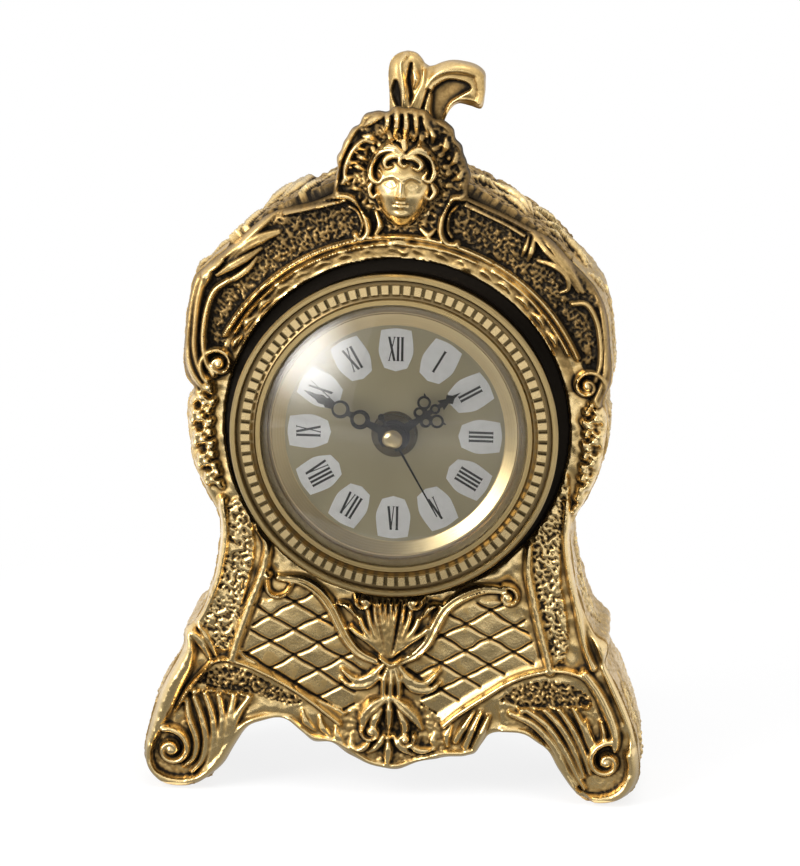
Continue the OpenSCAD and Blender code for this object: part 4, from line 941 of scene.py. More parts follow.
front.curl((475, 183), 1.9, 0.8, 120, -1, 1.4, 4.6)
for line in CHIN_LEAVES:
    front.leaf(line, [1.4, 2.4, 1.2], [4.2, 5.0, 4.0], deep=0.4)
print("head's middle at", HEAD.round(1))

# %% [markdown]
# ## From the canvas to metal
# The edge of a casting rolls over, and the channel round the bezel stays deep; its dark tone is painted
# shade, the shadow in that recess. The mesh has one point per grid place inside the outline and a chain of
# points on the outline itself, joined by a constrained triangulation, so the silhouette is a true curve and
# not a staircase.
# How hollow each place is goes along as an attribute, and the finish reads it. The casting is cut
# at one height into an upper and a lower piece, so that neither mesh gets too heavy.

# %% Roll the edge and sink the channel
roll = 1 - np.clip(edge_gap / 2.0, 0, 1)
H[:] = np.where(on_casting, H - (H + 0.2) * (1 - np.sqrt(np.clip(1 - roll ** 2, 0, 1))), -0.2)
channel = R < CHANNEL_R
H[channel] = 0.2
# painted shade: the channel is coloured dark as the shadow in the recess round the bezel
dark[channel] = 1.7
soft = front.blur(H + 0.05 * front.chatter * (H > 2.6) * (R > 49), 0.9, 1)
H[:] = soft + 0.6 * (H - soft) * (dark > 0.6) * (R > 49)
front.open = np.clip(edge_gap / 1.8, 0.15, 1)
print("relief from", H[on_casting].min().round(2), "to", H[on_casting].max().round(2), "mm")


# %% Triangles between chains of points
def triangles(points, loops, on_void):
    starts = np.cumsum([0] + [len(q) for q in loops])
    ties = [(i, i + 1 if i + 1 < b else a) for a, b in zip(starts, starts[1:]) for i in range(a, b)]
    v, _, faces, *_ = delaunay_2d_cdt([Vector(p) for p in points.tolist()], ties, [], 1, 1e-7)
    v, faces = np.array([(p.x, p.y) for p in v]), np.array([f for f in faces if len(f) == 3])
    if on_void is not None:
        faces = faces[~on_void(v)[faces].all(1)]
    used = np.unique(faces)
    order = np.full(len(v), -1)
    order[used] = np.arange(len(used))
    v, faces = v[used], order[faces]
    a, b = v[faces[:, 1]] - v[faces[:, 0]], v[faces[:, 2]] - v[faces[:, 0]]
    turned = a[:, 0] * b[:, 1] - a[:, 1] * b[:, 0] < 0
    faces[turned] = faces[turned][:, ::-1]
    return v, faces


def solid(name, points_mm, faces):
    """A mesh object from arrays of points, in millimetres, and of triangles."""
    mesh = bpy.data.meshes.new(name)
    mesh.vertices.add(len(points_mm))
    mesh.vertices.foreach_set("co", (np.array(points_mm) / 1000).astype("float32").ravel())
    mesh.loops.add(3 * len(faces))
    mesh.loops.foreach_set("vertex_index", faces.astype("int32").ravel())
    mesh.polygons.add(len(faces))
    mesh.polygons.foreach_set("loop_start", np.arange(0, 3 * len(faces), 3).astype("int32"))
    mesh.polygons.foreach_set("use_smooth", np.ones(len(faces), bool))
    mesh.update(calc_edges=True)
    o = bpy.data.objects.new(name, mesh)
    bpy.context.collection.objects.link(o)
    return o


def only(o):
    bpy.ops.object.select_all(action="DESELECT")
    o.select_set(True)
    bpy.context.view_layer.objects.active = o
    return o


# %% A closed piece from a canvas
def edges_of(faces):
    return np.concatenate([faces[:, [0, 1]], faces[:, [1, 2]], faces[:, [2, 0]]])


def keys(points):
    return [(round(float(x), 4), round(float(z), 4)) for x, z in points]


def closed_relief(name, canvas, loops, inside, lift, back, on_void=None, rows=np.zeros((0, 2))):
    """The canvas's surface, the wall down from its edge and a back. lift turns places and heights into
    millimetres of the model; back is the height of a plain back, or the lift of a second carved face."""
    rim, twin = np.concatenate(loops), callable(back)
    grid = np.stack([canvas.X[inside], canvas.Z[inside]], 1)
    v, top = triangles(np.concatenate([rim, grid, rows]), loops, on_void)
    sides = edges_of(top)
    _, first, count = np.unique(np.sort(sides, axis=1), axis=0, return_index=True, return_counts=True)
    open_sides = sides[first[count == 1]]
    w, under = (v, top) if twin else triangles(rim, loops, on_void)
    place = {key: len(v) + i for i, key in enumerate(keys(w))}
    start, end = open_sides.T
    below, below_end = (np.array([place[key] for key in keys(v[side])]) for side in (start, end))
    wall = [np.stack([end, start, below], 1), np.stack([end, below, below_end], 1)]
    faces = np.concatenate([top, *wall, under[:, ::-1] + len(v)])
    height = canvas.read(canvas.H, v)
    behind = back(v, height) if twin else lift(w, np.full(len(w), float(back)))
    points = np.concatenate([lift(v, height), behind])
    a, b, c = (points[faces[:, k]] for k in range(3))
    volume = np.einsum("ij,ij->i", a, np.cross(b, c)).sum() / 6000
    if volume < 0:
        faces = faces[:, ::-1]
    o = solid(name, points, faces)
    for title, field in (("hollow", canvas.hollows()), ("toned", canvas.dark)):
        values = canvas.read(field, v)
        values = np.concatenate([values, values if twin else np.full(len(w), 0.5)])
        o.data.attributes.new(title, "FLOAT", "POINT").data.foreach_set("value", values.astype("float32"))
    only(o)
    bpy.ops.object.shade_smooth_by_angle(angle=math.radians(70))
    loose = (np.unique(np.sort(edges_of(faces), axis=1), axis=0, return_counts=True)[1] != 2).sum()
    print(name, len(faces), "triangles,", loose, "open edges,", round(abs(float(volume)), 1), "cm3")
    return o


def inner_rows(canvas, loop, gap, offsets):
    """Rows of points beside a closed line, so that the rolled edge of the metal is smooth along it."""
    d = np.roll(loop, -2, axis=0) - np.roll(loop, 2, axis=0)
    n = np.stack([-d[:, 1], d[:, 0]], 1) / np.hypot(*d.T)[:, None]
    out = []
    for offset in offsets:
        both = np.concatenate([loop + n * offset, loop - n * offset])
        in_row = np.abs(canvas.read(gap, both) - offset) < 0.12
        out.append(both[in_row & (canvas.read(canvas.within, both) > 0.9)])
    return np.concatenate(out)


def on_front(v, h):
    return np.stack([v[:, 0], FACE_Y - h, v[:, 1]], 1)


def clipped(loop, level, upper):
    """The part of a closed line over or under a level, with points along the cut."""
    out = []
    for p, q in zip(loop, np.roll(loop, -1, axis=0)):
        if (p[1] > level) == upper:
            out.append(p)
        if (p[1] - level) * (q[1] - level) < 0:
            out.append(p + (q - p) * (level - p[1]) / (q[1] - p[1]))
    cuts = [i for i, p in enumerate(out) if abs(p[1] - level) < 1e-9]
    a, b = cuts if cuts[1] - cuts[0] == 1 else (cuts[1], cuts[0])
    n = int(abs(out[b][0] - out[a][0]) / 0.3)
    between = [np.array([x, level]) for x in np.linspace(out[a][0], out[b][0], n + 1)[1:-1]]
    return np.array(out[:a + 1] + between + out[a + 1:])


# %% The front casting in two pieces
CUT, CLEAR = 63.05, 0.12                      # height of the cut, and how far grid points keep off it


def on_hole(p):
    return np.abs(np.hypot(p[:, 0], p[:, 1] - DIAL_Z) - HOLE_R) < 1e-3


hole = arc(HOLE_R, 0, 360, 421)[:-1]
body = on_casting & (edge_gap > 1.75) & (R > HOLE_R + 0.16)
front.within = on_casting.astype(float)
rows = inner_rows(front, edge, edge_gap, (0.2, 0.5, 0.9, 1.3, 1.65))
upper_piece = closed_relief("front_upper", front, [clipped(edge, CUT, True), hole],
                            body & (Z > CUT + CLEAR), on_front, -PLATE, on_hole,
                            rows[rows[:, 1] > CUT + CLEAR])
lower_piece = closed_relief("front_lower", front, [clipped(edge, CUT, False)], body & (Z < CUT - CLEAR),
                            on_front, -PLATE, rows=rows[rows[:, 1] < CUT - CLEAR])
brass_pieces = [upper_piece, lower_piece]

# %% [markdown]
# ## Side walls and roof
# Behind the front the case is a strip of metal that follows the outline. It is carved too: leaves
# spill over the shoulders and the upper edge is punched. The strip is a canvas as well, whose
# first direction runs along the outline and whose second runs to the back. Three lengths of it
# stand for the two flanks and the roof.

# %% The strip's line
LEFT_FOOT = [(-51.2, 3.3), (-55.3, 0.6), (-57.5, 0)]
ROOF = [(-35.6, 165.2), (-27, 169.6), (-18, 174), (-9, 177), (0, 178), (9, 177), (18, 174), (27, 169.4),
        (33.8, 165.2), (41, 160)]
RIGHT_FOOT = [(53.3, 1.9), (51, 4.4)]
strip_line = even(smooth(LEFT_FOOT + LEFT[1:29] + ROOF + RIGHT[4:] + RIGHT_FOOT, 6), 0.4)
run = np.concatenate([[0], np.cumsum(np.hypot(*np.diff(strip_line, axis=0).T))])
slope = np.gradient(strip_line, axis=0)
kernel = np.ones(9) / 9
slope = np.stack([np.convolve(np.pad(slope[:, k], 4, mode="edge"), kernel, "valid") for k in (0, 1)], 1)
slope /= np.linalg.norm(slope, axis=1)[:, None]
outward = np.stack([-slope[:, 1], slope[:, 0]], 1)
SEEN = np.array([SHIFT_X, SHIFT_Z])


def on_strip(points, h):
    """Picture points turned into the length along the strip and the distance to the back, whatever h is."""
    out = []
    for p in seen_at(points, 0):
        d = p - strip_line
        depth = d @ SEEN / (SEEN @ SEEN)
        beside = np.abs(d[:, 0] * SEEN[1] - d[:, 1] * SEEN[0]) / np.hypot(*SEEN)
        miss = beside + 100 * (np.abs(depth - 17) > 20)
        k = int(np.argmin(miss))
        out.append((run[k], depth[k]))
    return np.array(out)


def at_strip(x, z, depth):
    return [run[int(np.argmin(np.hypot(strip_line[:, 0] - x, strip_line[:, 1] - z)))], depth]


strip = Canvas(0, run[-1] + 0.6, 0, 35.6, 0.5, on_strip, seed=11)
strip.H[:] = 0.25 + 0.12 * strip.swell
print("strip:", round(run[-1]), "mm long, canvas", strip.X.shape)

# %% Leaves and punching on the strip
roof_from, roof_to = at_strip(-47, 155.3, 0)[0], at_strip(47, 153.9, 0)[0]
on_roof = (strip.X > roof_from) & (strip.X < roof_to)
strip.H[on_roof] = 0.3 + 0.5 * strip.punch[on_roof]
strip.dark[on_roof] = 0.8
strip.dark[~on_roof] = (0.2 + 0.14 * np.clip(strip.swell, 0, 2))[~on_roof]
ROOF_LEAVES = [
    ([(282, 202), (296, 190), (308, 176), (318, 164)], [2.4, 5.4, 5.4, 2.4]),
    ([(262, 214), (276, 200), (290, 186), (304, 172)], [1.6, 4.4, 4.2, 2]),
    ([(300, 206), (310, 196), (324, 184)], [1.4, 3.4, 1.6]),
    ([(244, 240), (256, 226), (268, 212)], [1.4, 4.2, 1.6]),
    ([(228, 256), (242, 240), (254, 226)], [1.4, 3.8, 1.6]),
    ([(490, 182), (508, 192), (522, 204), (530, 214)], [1.8, 5.6, 5.6, 2.6]),
    ([(498, 196), (512, 206), (524, 216)], [1.4, 3.2, 1.4]),
    ([(530, 208), (544, 214), (560, 226)], [1.4, 4.4, 1.8]),
    ([(540, 222), (556, 232), (572, 246)], [1.4, 4.0, 1.6]),
    ([(560, 236), (574, 250), (586, 264)], [1.2, 3.6, 1.4]),
    ([(470, 180), (482, 184), (494, 190)], [1.2, 2.8, 1.4]),
]
ROOF_HOLLOWS = [
    [(470, 198), (490, 203), (510, 213), (518, 221), (500, 216), (482, 208)],
    [(315, 200), (325, 190), (338, 184), (336, 192), (324, 199)],
]
for line, w in ROOF_LEAVES:
    strip.leaf(line, w, [1.2, 2.6, 2.6, 1.2], deep=0.7)
for points in ROOF_HOLLOWS:
    strip.ground(points, 0.1, 0.95, 0.1)
for side in (-1, 1):
    for k in range(9):
        s, depth = at_strip(side * (53.5 - 5 * k), 147 + 3.2 * k, 9 + 7 * (k % 3))
        twig = [(s - 3.6, depth - 2.4), (s, depth), (s + 3.4, depth + 3.2)]
        strip.leaf(twig, [1, 3.2, 1], [0.8, 1.9, 0.8], deep=0.6, raw=True)
    for x, z, depth, way in ((66, 22, 14, 1), (58.5, 62, 17, -1), (57.5, 104, 14, 1), (58.5, 132, 17, -1)):
        a, b = at_strip(side * x, z, depth)
        way *= side
        stem = np.array([(a + way * t, b + 2.2 * math.sin(t / 4.5)) for t in np.linspace(-13, 13, 27)])
        strip.band(stem, [0.8, 1.5, 1.5, 0.7], [0.6, 1.1, 1.1, 0.6], raw=True)
        for k, (u, v) in enumerate(stem[3:25:4]):
            for turn in (-1, 1):
                reach = 7.5 - 0.8 * k
                twig = [(u, v), (u + way * 0.45 * reach, v + turn * 0.62 * reach),
                        (u + way * 1.05 * reach, v + turn * 0.92 * reach)]
                strip.leaf(twig, [0.9, 3.0 - 0.25 * k, 0.8], [0.7, 1.25, 0.5], deep=0.45, raw=True)
strip.dark *= np.clip(1.6 - strip.H, 0.1, 1)
strip.H[:] = strip.blur(strip.H + 0.08 * strip.chatter, 0.5, 1)
print("strip carved:", len(ROOF_LEAVES), "leaves on the roof")


# %% Walls and roof as closed pieces
def on_wall(v, h):
    """Places along the strip turned into millimetres of the model, with h out of the wall."""
    p = np.stack([np.interp(v[:, 0], run, strip_line[:, k]) for k in (0, 1)], 1)
    n = np.stack([np.interp(v[:, 0], run, outward[:, k]) for k in (0, 1)], 1)
    p = p + n * (h + 0.05)[:, None]
    p[:, 1] = np.maximum(p[:, 1], 0.0)                # the feet are ground flat underneath
    return np.stack([p[:, 0], FACE_Y + v[:, 1], p[:, 1]], 1)


def strip_piece(name, s0, s1):
    d0, d1, step = 0.6, BACK_Y - FACE_Y, 0.5
    ss = np.linspace(s0, s1, int((s1 - s0) / step) + 1)
    dd = np.linspace(d0, d1, int((d1 - d0) / step) + 1)
    sides = [(ss, np.full_like(ss, d0)), (np.full_like(dd, s1), dd),
             (ss[::-1], np.full_like(ss, d1)), (np.full_like(dd, s0), dd[::-1])]
    loop = np.concatenate([np.stack(side, 1)[:-1] for side in sides])
    inner = (strip.X > s0 + 0.2) & (strip.X < s1 - 0.2) & (strip.Z > d0 + 0.2) & (strip.Z < d1 - 0.2)
    return closed_relief(name, strip, [loop], inner, on_wall, -2.6)


seam_left, seam_right = at_strip(-50.4, 152.2, 0)[0], at_strip(50.2, 150.7, 0)[0]
left_wall = strip_piece("wall_left", 0.0, seam_left)
roof_wall = strip_piece("wall_roof", seam_left, seam_right)
right_wall = strip_piece("wall_right", seam_right, float(run[-1]))
brass_pieces += [left_wall, roof_wall, right_wall]

# %% [markdown]
# ## Screw lugs
# The walls are held to the front by small eyes inside, each with a screw. The frame holds the
# screws; the eyes are rings with a short arm that runs into the wall.

# %% Lugs
LUGS = [((57, 30), (60.8, 30.5)), ((42, 74), (46.4, 74)), ((51, 128), (56.6, 128)),
        ((30, 158), (33.4, 163.4))]               # each eye's centre and where its arm meets the wall
TOP_LUG = ((0, 165.5), (0, 176.0))
EYE_R, EYE_HOLE_R, EYE_T = 4.0, 1.6, 3.0
ARM_T, ARM_DEEP = 3.0, 7.2


def round_bar(radius, depth, at, turn=(0, 0, 0), vertices=32):
    bpy.ops.mesh.primitive_cylinder_add(vertices=vertices, radius=radius, depth=depth, location=at,
                                        rotation=turn)
    return bpy.context.object


def cut_or_join(o, operation, other):
    only(o)
    step = o.modifiers.new("step", "BOOLEAN")
    step.operation, step.object, step.solver = operation, other, "EXACT"
    bpy.ops.object.modifier_apply(modifier=step.name)
    bpy.data.objects.remove(other)


def soften(o, name):
    """Breaks the sharp edges, names the piece and leaves its place in its mesh."""
    only(o)
    o.name = name
    edge_round = o.modifiers.new("edge", "BEVEL")
    edge_round.width, edge_round.segments, edge_round.limit_method = 0.0003, 2, "ANGLE"
    bpy.ops.object.modifier_apply(modifier=edge_round.name)
    bpy.ops.object.transform_apply(location=True, rotation=True, scale=True)
    bpy.ops.object.shade_smooth_by_angle(angle=math.radians(35))
    return o


def lug(name, at, wall_at):
    """An eye at one place, its arm as far as the wall and the hole for its screw."""
    y, lie = FACE_Y + PLATE + EYE_T / 2, (math.pi / 2, 0, 0)
    centre = (at[0] / 1000, y / 1000, at[1] / 1000)
    eye = round_bar(EYE_R / 1000, EYE_T / 1000, centre, lie)
    d = Vector((wall_at[0] - at[0], 0, wall_at[1] - at[1]))
    middle = Vector((at[0], y, at[1])) + d / 2
    bpy.ops.mesh.primitive_cube_add(size=1, location=middle / 1000, rotation=(0, -math.atan2(d.z, d.x), 0),
                                    scale=(d.length / 1000, ARM_T / 1000, ARM_DEEP / 1000))
    cut_or_join(eye, "UNION", bpy.context.object)
    cut_or_join(eye, "DIFFERENCE", round_bar(EYE_HOLE_R / 1000, 0.01, centre, lie))
    return soften(eye, name)


lugs = []
for k, (at, wall_at) in enumerate(LUGS):
    for s, end in ((-1, "l"), (1, "r")):
        lugs.append((lug(f"lug_{k}_{end}", (s * at[0], at[1]), (s * wall_at[0], wall_at[1])), k))
lugs.append((lug("lug_top", *TOP_LUG), 3))
print(len(lugs), "lugs")

# %% [markdown]
# ## The head in the shell
# The little head is a sculptor's exercise: an egg, halved by the line of the eyes and again by the
# base of the nose, with curls round the brow. It has a finer canvas of its own, and its features
# are small swells and dips that are added to the egg, so that they blend as in wax.

# %% Head canvas: the egg and the face
head = Canvas(-11, 11, -14, 14.5, 0.16, seen_at, seed=3)
hx, hz = head.X, head.Z
half = np.interp(hz, [-10.5, -7.5, -4, 0, 6, 12], [6.0, 6.6, 7.1, 7.5, 7.2, 6.0])
head.H[:] = 7.4 * np.sqrt(np.clip(1 - (hx / half) ** 2 * 0.92 - (hz / 11.2) ** 2 * 0.9, 0, 1)) + 0.6


def dab(x, z, rx, rz, amount):
    head.H += amount * np.exp(-((hx - x) / rx) ** 2 - ((hz - z) / rz) ** 2)


def ridge(line, width, amount):
    """Adds a soft ridge or, with a minus, a crease."""
    win, off, t = head.near(smooth(line), 2.5 * np.max(width))
    head.H[win] += spread(amount, t) * np.exp(-(off / spread(width, t)) ** 2)


for s in (-1, 1):
    dab(s * 2.65, 0.5, 1.75, 1.05, -1.0)                                  # socket
    dab(s * 2.65, 0.15, 1.0, 0.68, 0.8)                                   # eyeball under its lids
    ridge([(s * 1.35, 0.0), (s * 2.0, 0.75), (s * 2.8, 0.85), (s * 4.0, 0.1)], 0.26, 0.34)
    ridge([(s * 1.4, -0.15), (s * 2.2, -0.6), (s * 3.0, -0.6), (s * 3.9, -0.05)], 0.22, 0.2)
    ridge([(s * 0.9, 1.7), (s * 2.4, 2.35), (s * 4.4, 1.5)], 0.7, 0.5)    # brow
    dab(s * 3.6, -2.8, 2.0, 1.9, 0.55)                                    # cheek
    dab(s * 0.85, -2.95, 0.5, 0.42, 0.5)                                  # wing of the nose
    dab(s * 1.75, -5.0, 0.45, 0.45, -0.3)                                 # corner of the mouth
ridge([(0, 1.6), (0, -0.6), (0, -2.6)], [0.8, 0.7, 0.85], [0.5, 1.0, 1.5])
dab(0, -2.85, 0.85, 0.7, 0.7)
upper_lip = [(-1.5, -4.95), (-0.5, -4.6), (0, -4.7), (0.5, -4.6), (1.5, -4.95)]
ridge(upper_lip, [0.14, 0.32, 0.32, 0.32, 0.14], [0.1, 0.36, 0.3, 0.36, 0.1])
ridge([(-1.2, -5.3), (0, -5.65), (1.2, -5.3)], [0.16, 0.42, 0.16], [0.12, 0.44, 0.12])
ridge([(-1.6, -5.0), (0, -5.12), (1.6, -5.0)], 0.15, -0.34)
dab(0, -6.6, 1.5, 0.4, -0.35)
dab(0, -8.0, 1.7, 1.1, 0.7)
print("face modelled, height", head.H.max().round(1))

# %% Hair in locks
LOCKS = [
    ([(0.4, 7.6), (-2.8, 9.2), (-6.4, 8.0), (-8.2, 4.6), (-7.8, 1.2), (-5.8, 0.2), (-4.8, 2.0),
      (-5.8, 3.4)], [1.4, 2.4, 2.8, 2.6, 2.2, 1.7, 1.3, 1.0], [8.0, 8.0, 6.6, 5.6, 5.4, 6.4, 6.8, 6.6]),
    ([(0.2, 7.2), (-2.4, 7.6), (-4.4, 6.2), (-4.0, 4.5), (-2.7, 4.8)], [1.0, 1.9, 1.9, 1.3, 0.9],
     [8.4, 8.7, 8.2, 8.2, 8.3]),
    ([(0.8, 7.4), (3.6, 9.0), (6.8, 7.4), (8.0, 4.0), (7.0, 1.2), (5.4, 1.8), (5.9, 3.6)],
     [1.4, 2.2, 2.6, 2.4, 1.8, 1.3, 1.0], [8.0, 7.8, 6.4, 5.6, 5.6, 6.4, 6.6]),
    ([(1.0, 7.0), (3.0, 7.2), (4.7, 5.6), (3.9, 4.3), (2.8, 4.8)], [1.0, 1.8, 1.7, 1.2, 0.9],
     [8.4, 8.6, 8.0, 8.2, 8.3]),
    ([(-0.4, 7.8), (-0.7, 6.2), (0.3, 5.0), (1.2, 5.6)], [1.0, 1.5, 1.2, 0.8], [8.6, 8.9, 8.8, 8.6]),
    ([(-2.6, 8.8), (-3.8, 10.6), (-2.6, 12.0), (-1.6, 11.0)], [1.8, 2.2, 1.6, 1.0], [6.4, 5.6, 4.8, 5.0]),
    ([(0.2, 9.0), (-0.2, 11.4), (1.2, 12.6), (2.2, 11.4)], [1.8, 2.2, 1.6, 1.0], [6.6, 5.4, 4.6, 5.0]),
    ([(3.2, 8.8), (4.4, 10.8), (5.9, 10.6), (5.6, 9.2)], [1.8, 2.1, 1.5, 1.0], [6.2, 5.2, 4.8, 5.2]),
    ([(-7.6, -0.2), (-8.4, -2.2), (-7.2, -4.0), (-6.2, -3.0)], [1.4, 1.9, 1.5, 0.9], [4.6, 4.6, 4.6, 4.8]),
    ([(7.4, 0.2), (8.2, -1.8), (7.0, -3.6), (6.0, -2.8)], [1.4, 1.9, 1.5, 0.9], [4.6, 4.6, 4.6, 4.8]),
]
for line, w, top in LOCKS:
    win, off, t = head.near(smooth(line, 6), max(w) / 2 + 0.4)
    u = off / (spread(w, t) / 2)
    lock = np.clip(1 - u * u, 0, 1) ** 0.5
    strands = 0.22 * np.cos(2 * np.pi * 1.5 * np.clip(u, -1, 1))
    head.raise_to(win, np.abs(u) < 1, spread(top, t) - 1.9 + 1.9 * lock - strands)
    head.dark[win] = np.where((np.abs(u) > 0.9) & (np.abs(u) < 1.15), 0.35, head.dark[win])
head.H[:] = head.blur(head.H, 0.48, 1)
print("hair:", len(LOCKS), "locks")

# %% Head as a closed piece
TIP = math.radians(2.0)
turn_c, turn_s = math.cos(TIP), math.sin(TIP)


def on_head(v, h):
    x = 1.08 * (v[:, 0] * turn_c + v[:, 1] * turn_s)
    z = 1.05 * (v[:, 1] * turn_c - v[:, 0] * turn_s)
    return np.stack([HEAD[0] + x, FACE_Y - 1.2 - h, HEAD[1] + z], 1)


ring = np.radians(np.linspace(0, 360, 241)[:-1])
WIDE, TALL, RAISED = 9.7, 12.4, 0.4           # half sizes of the oval that the head fills, and its middle
head_loop = np.stack([WIDE * np.cos(ring), RAISED + TALL * np.sin(ring)], 1)
oval = np.hypot(hx / WIDE, (hz - RAISED) / TALL)
head.H[:] = np.where(oval > 0.9, np.minimum(head.H, 0.4 + (1 - np.clip(oval, 0, 1)) * 40), head.H)
head_piece = closed_relief("shell_head", head, [head_loop], oval < 0.985, on_head, -0.6)
brass_pieces.append(head_piece)

# %% [markdown]
# ## The crest
# The crest is one thick cast leaf: a folded bud stands on the roof, and beside it a branch swings
# to the right and is cut off hollow. It is carved on a canvas too, but on both faces: the mesh uses
# the same surface twice, to the front and to the back, so the piece is round like a real casting.

# %% Carve the crest
CREST_BACK = 10.8                             # the leaf's middle lies so far behind the face
CREST_Y = FACE_Y + CREST_BACK


def on_crest(points, h):
    return seen_at(points, h - CREST_BACK)


crest = Canvas(-9, 26, 175, 212, 0.2, on_crest, seed=5)
CREST_OUTLINE = [(389, 132), (390, 115), (390, 97), (389, 78), (391, 66), (397, 59.5), (407, 56.7),
                 (416, 58.5), (422, 64.5), (426, 70.5), (433, 70.5), (441, 67.5), (451, 65.5), (463, 67),
                 (475, 70.5), (483, 77.5), (484, 88), (483.5, 99), (481, 110.5), (470, 108), (458, 106),
                 (450, 112), (444.5, 122.5), (442, 134), (443, 146), (442, 166), (438, 176), (398, 176),
                 (392, 160), (389, 132)]
crest_edge = even(smooth(crest.to_mm(CREST_OUTLINE, 0), 6), 0.3)[:-1]
crest_gap = crest.gap(crest_edge)
crest.H[:] = 0.5 + 4.2 * np.sqrt(1 - (1 - np.clip(crest_gap / 4.4, 0, 1)) ** 2) + 0.12 * crest.swell
LAP = [(434, 92), (446, 85), (462, 86), (470, 92), (462, 98), (452, 104), (445, 114), (438, 128),
       (428, 124), (427, 106), (434, 92)]
lap = crest.inside(smooth(crest.to_mm(LAP, 3)))
crest.H[lap] = np.minimum(crest.H[lap], 1.5 + 0.1 * crest.swell[lap])
crest.dark[lap] = 0.3
CREST_MOVES = [                               # in this order, because a groove cuts what is there
    (crest.band, [(425, 94), (432, 84), (441, 77.5), (452, 75), (464, 75.5), (475, 79), (482, 84)],
     [1.6, 3.0, 4.2, 4.6, 4.6, 4.4], [4.8, 5.4, 5.6, 5.6, 5.2]),
    (crest.band, [(478, 84), (480, 96), (478, 107)], [3.4, 3.2, 2.4], [5.2, 4.6, 4.4], "flat"),
    (crest.band, [(446, 128), (447, 114), (455, 105), (468, 104), (478, 107)], [1.6, 1.8, 1.6],
     [3.8, 4.0, 4.2]),
    (crest.groove, [(396, 88), (396, 97), (399, 107), (404, 116)], [1.4, 3.2, 2.6, 1.0], [1.6, 2.6, 2.0],
     0.9),
    (crest.band, [(403, 118), (404, 102), (403, 86), (401, 70), (406, 62)], [1.6, 2.4, 2.6, 2.4, 1.6],
     [5.2, 5.6, 5.7, 5.4, 4.6]),
    (crest.groove, [(411, 112), (411, 98), (409, 84), (411, 70)], 1.0, 1.6, 0.8),
    (crest.band, [(414, 76), (416, 84), (414, 92)], [2.2, 3.4, 2.0], [5.6, 6.2, 5.4]),
    (crest.band, [(424, 74), (423, 88), (416, 102), (409, 118), (406, 134)], [1.6, 2.4, 2.6, 2.2],
     [4.8, 5.4, 5.4, 5.0]),
    (crest.groove, [(428, 96), (424, 108), (420, 122), (418, 136)], 1.1, 1.6, 0.8),
    (crest.groove, [(394, 118), (396, 128), (398, 140)], 1.0, 1.4, 0.8),
    (crest.band, [(430, 100), (428, 114), (430, 130)], [1.4, 2.2, 2.4], [3.6, 4.4, 4.6]),
]
for move, *sizes in CREST_MOVES:
    move(*sizes)
crest.H[:] = crest.blur(np.maximum(crest.H, 0.4), 0.55, 2)
crest.dark[:] = np.clip(crest.dark + 0.42, 0, 1)
crest.open = np.clip(crest_gap / 1.6, 0.1, 1) * 0.62


def crest_face(side):
    return lambda v, h: np.stack([v[:, 0], CREST_Y + side * h, v[:, 1]], 1)


crest_body = crest.inside(crest_edge)
crest.within = crest_body.astype(float)
crest_rows = inner_rows(crest, crest_edge, crest_gap, (0.12, 0.3, 0.5, 0.75, 1.0))
crest_leaf = closed_relief("crest_leaf", crest, [crest_edge], crest_body & (crest_gap > 1.1),
                           crest_face(-1), crest_face(1), rows=crest_rows)
brass_pieces.append(crest_leaf)

# %% Stud under the crest
STUD_LONG, STUD_Z = 9.0, 174.5
stud_at = (0, CREST_Y / 1000, STUD_Z / 1000)
stud = soften(round_bar(STUD_R / 1000, STUD_LONG / 1000, stud_at, vertices=40), "crest_stud")
print("crest carved; stud", len(stud.data.polygons), "faces")

# %% [markdown]
# ## Numerals
# The plaques carry thin Roman numerals. Each letter is a few bars with fine serifs, drawn once
# and copied round the dial. From IIII to VIII they stand with their feet to the rim.

# %% Letters
INK = 0.06                                    # thickness of the print in millimetres
DIAL_Y = FACE_Y - 7.2
LETTER, MIDDLE_R, ROOM = 6.6, 23.6, 6.2       # height, distance from the axis and the widest word
THICK, FINE, SERIF = 0.64, 0.27, 0.2          # widths of the strokes


def bar(p, q, width):
    """One straight stroke in the plane of the dial, as four corners."""
    p, q = np.array(p, float), np.array(q, float)
    d = (q - p) / np.hypot(*(q - p))
    n = np.array([-d[1], d[0]]) * width / 2
    return [p - n, q - n, q + n, p + n]


def serif(x0, x1, end):
    return (x0, 0.49 * end), (x1, 0.49 * end), SERIF


LETTERS = {
    "I": (1.15, [((0, -0.5), (0, 0.5), THICK), serif(-0.42, 0.42, 1), serif(-0.42, 0.42, -1)]),
    "V": (2.15, [((-0.72, 0.5), (0.03, -0.5), THICK), ((0.72, 0.5), (0.03, -0.5), FINE),
                 serif(-1.02, -0.4, 1), serif(0.42, 1.0, 1)]),
    "X": (2.25, [((-0.75, 0.5), (0.75, -0.5), THICK), ((0.72, 0.5), (-0.72, -0.5), FINE),
                 serif(-1.04, -0.42, 1), serif(0.42, 1.0, 1),
                 serif(-1.0, -0.42, -1), serif(0.42, 1.04, -1)]),
}
SIDES = ((0, 1, 2, 3), (7, 6, 5, 4), (0, 4, 5, 1), (1, 5, 6, 2), (2, 6, 7, 3), (3, 7, 4, 0))
WORDS = ["XII", "I", "II", "III", "IIII", "V", "VI", "VII", "VIII", "IX", "X", "XI"]
corners, quads = [], []
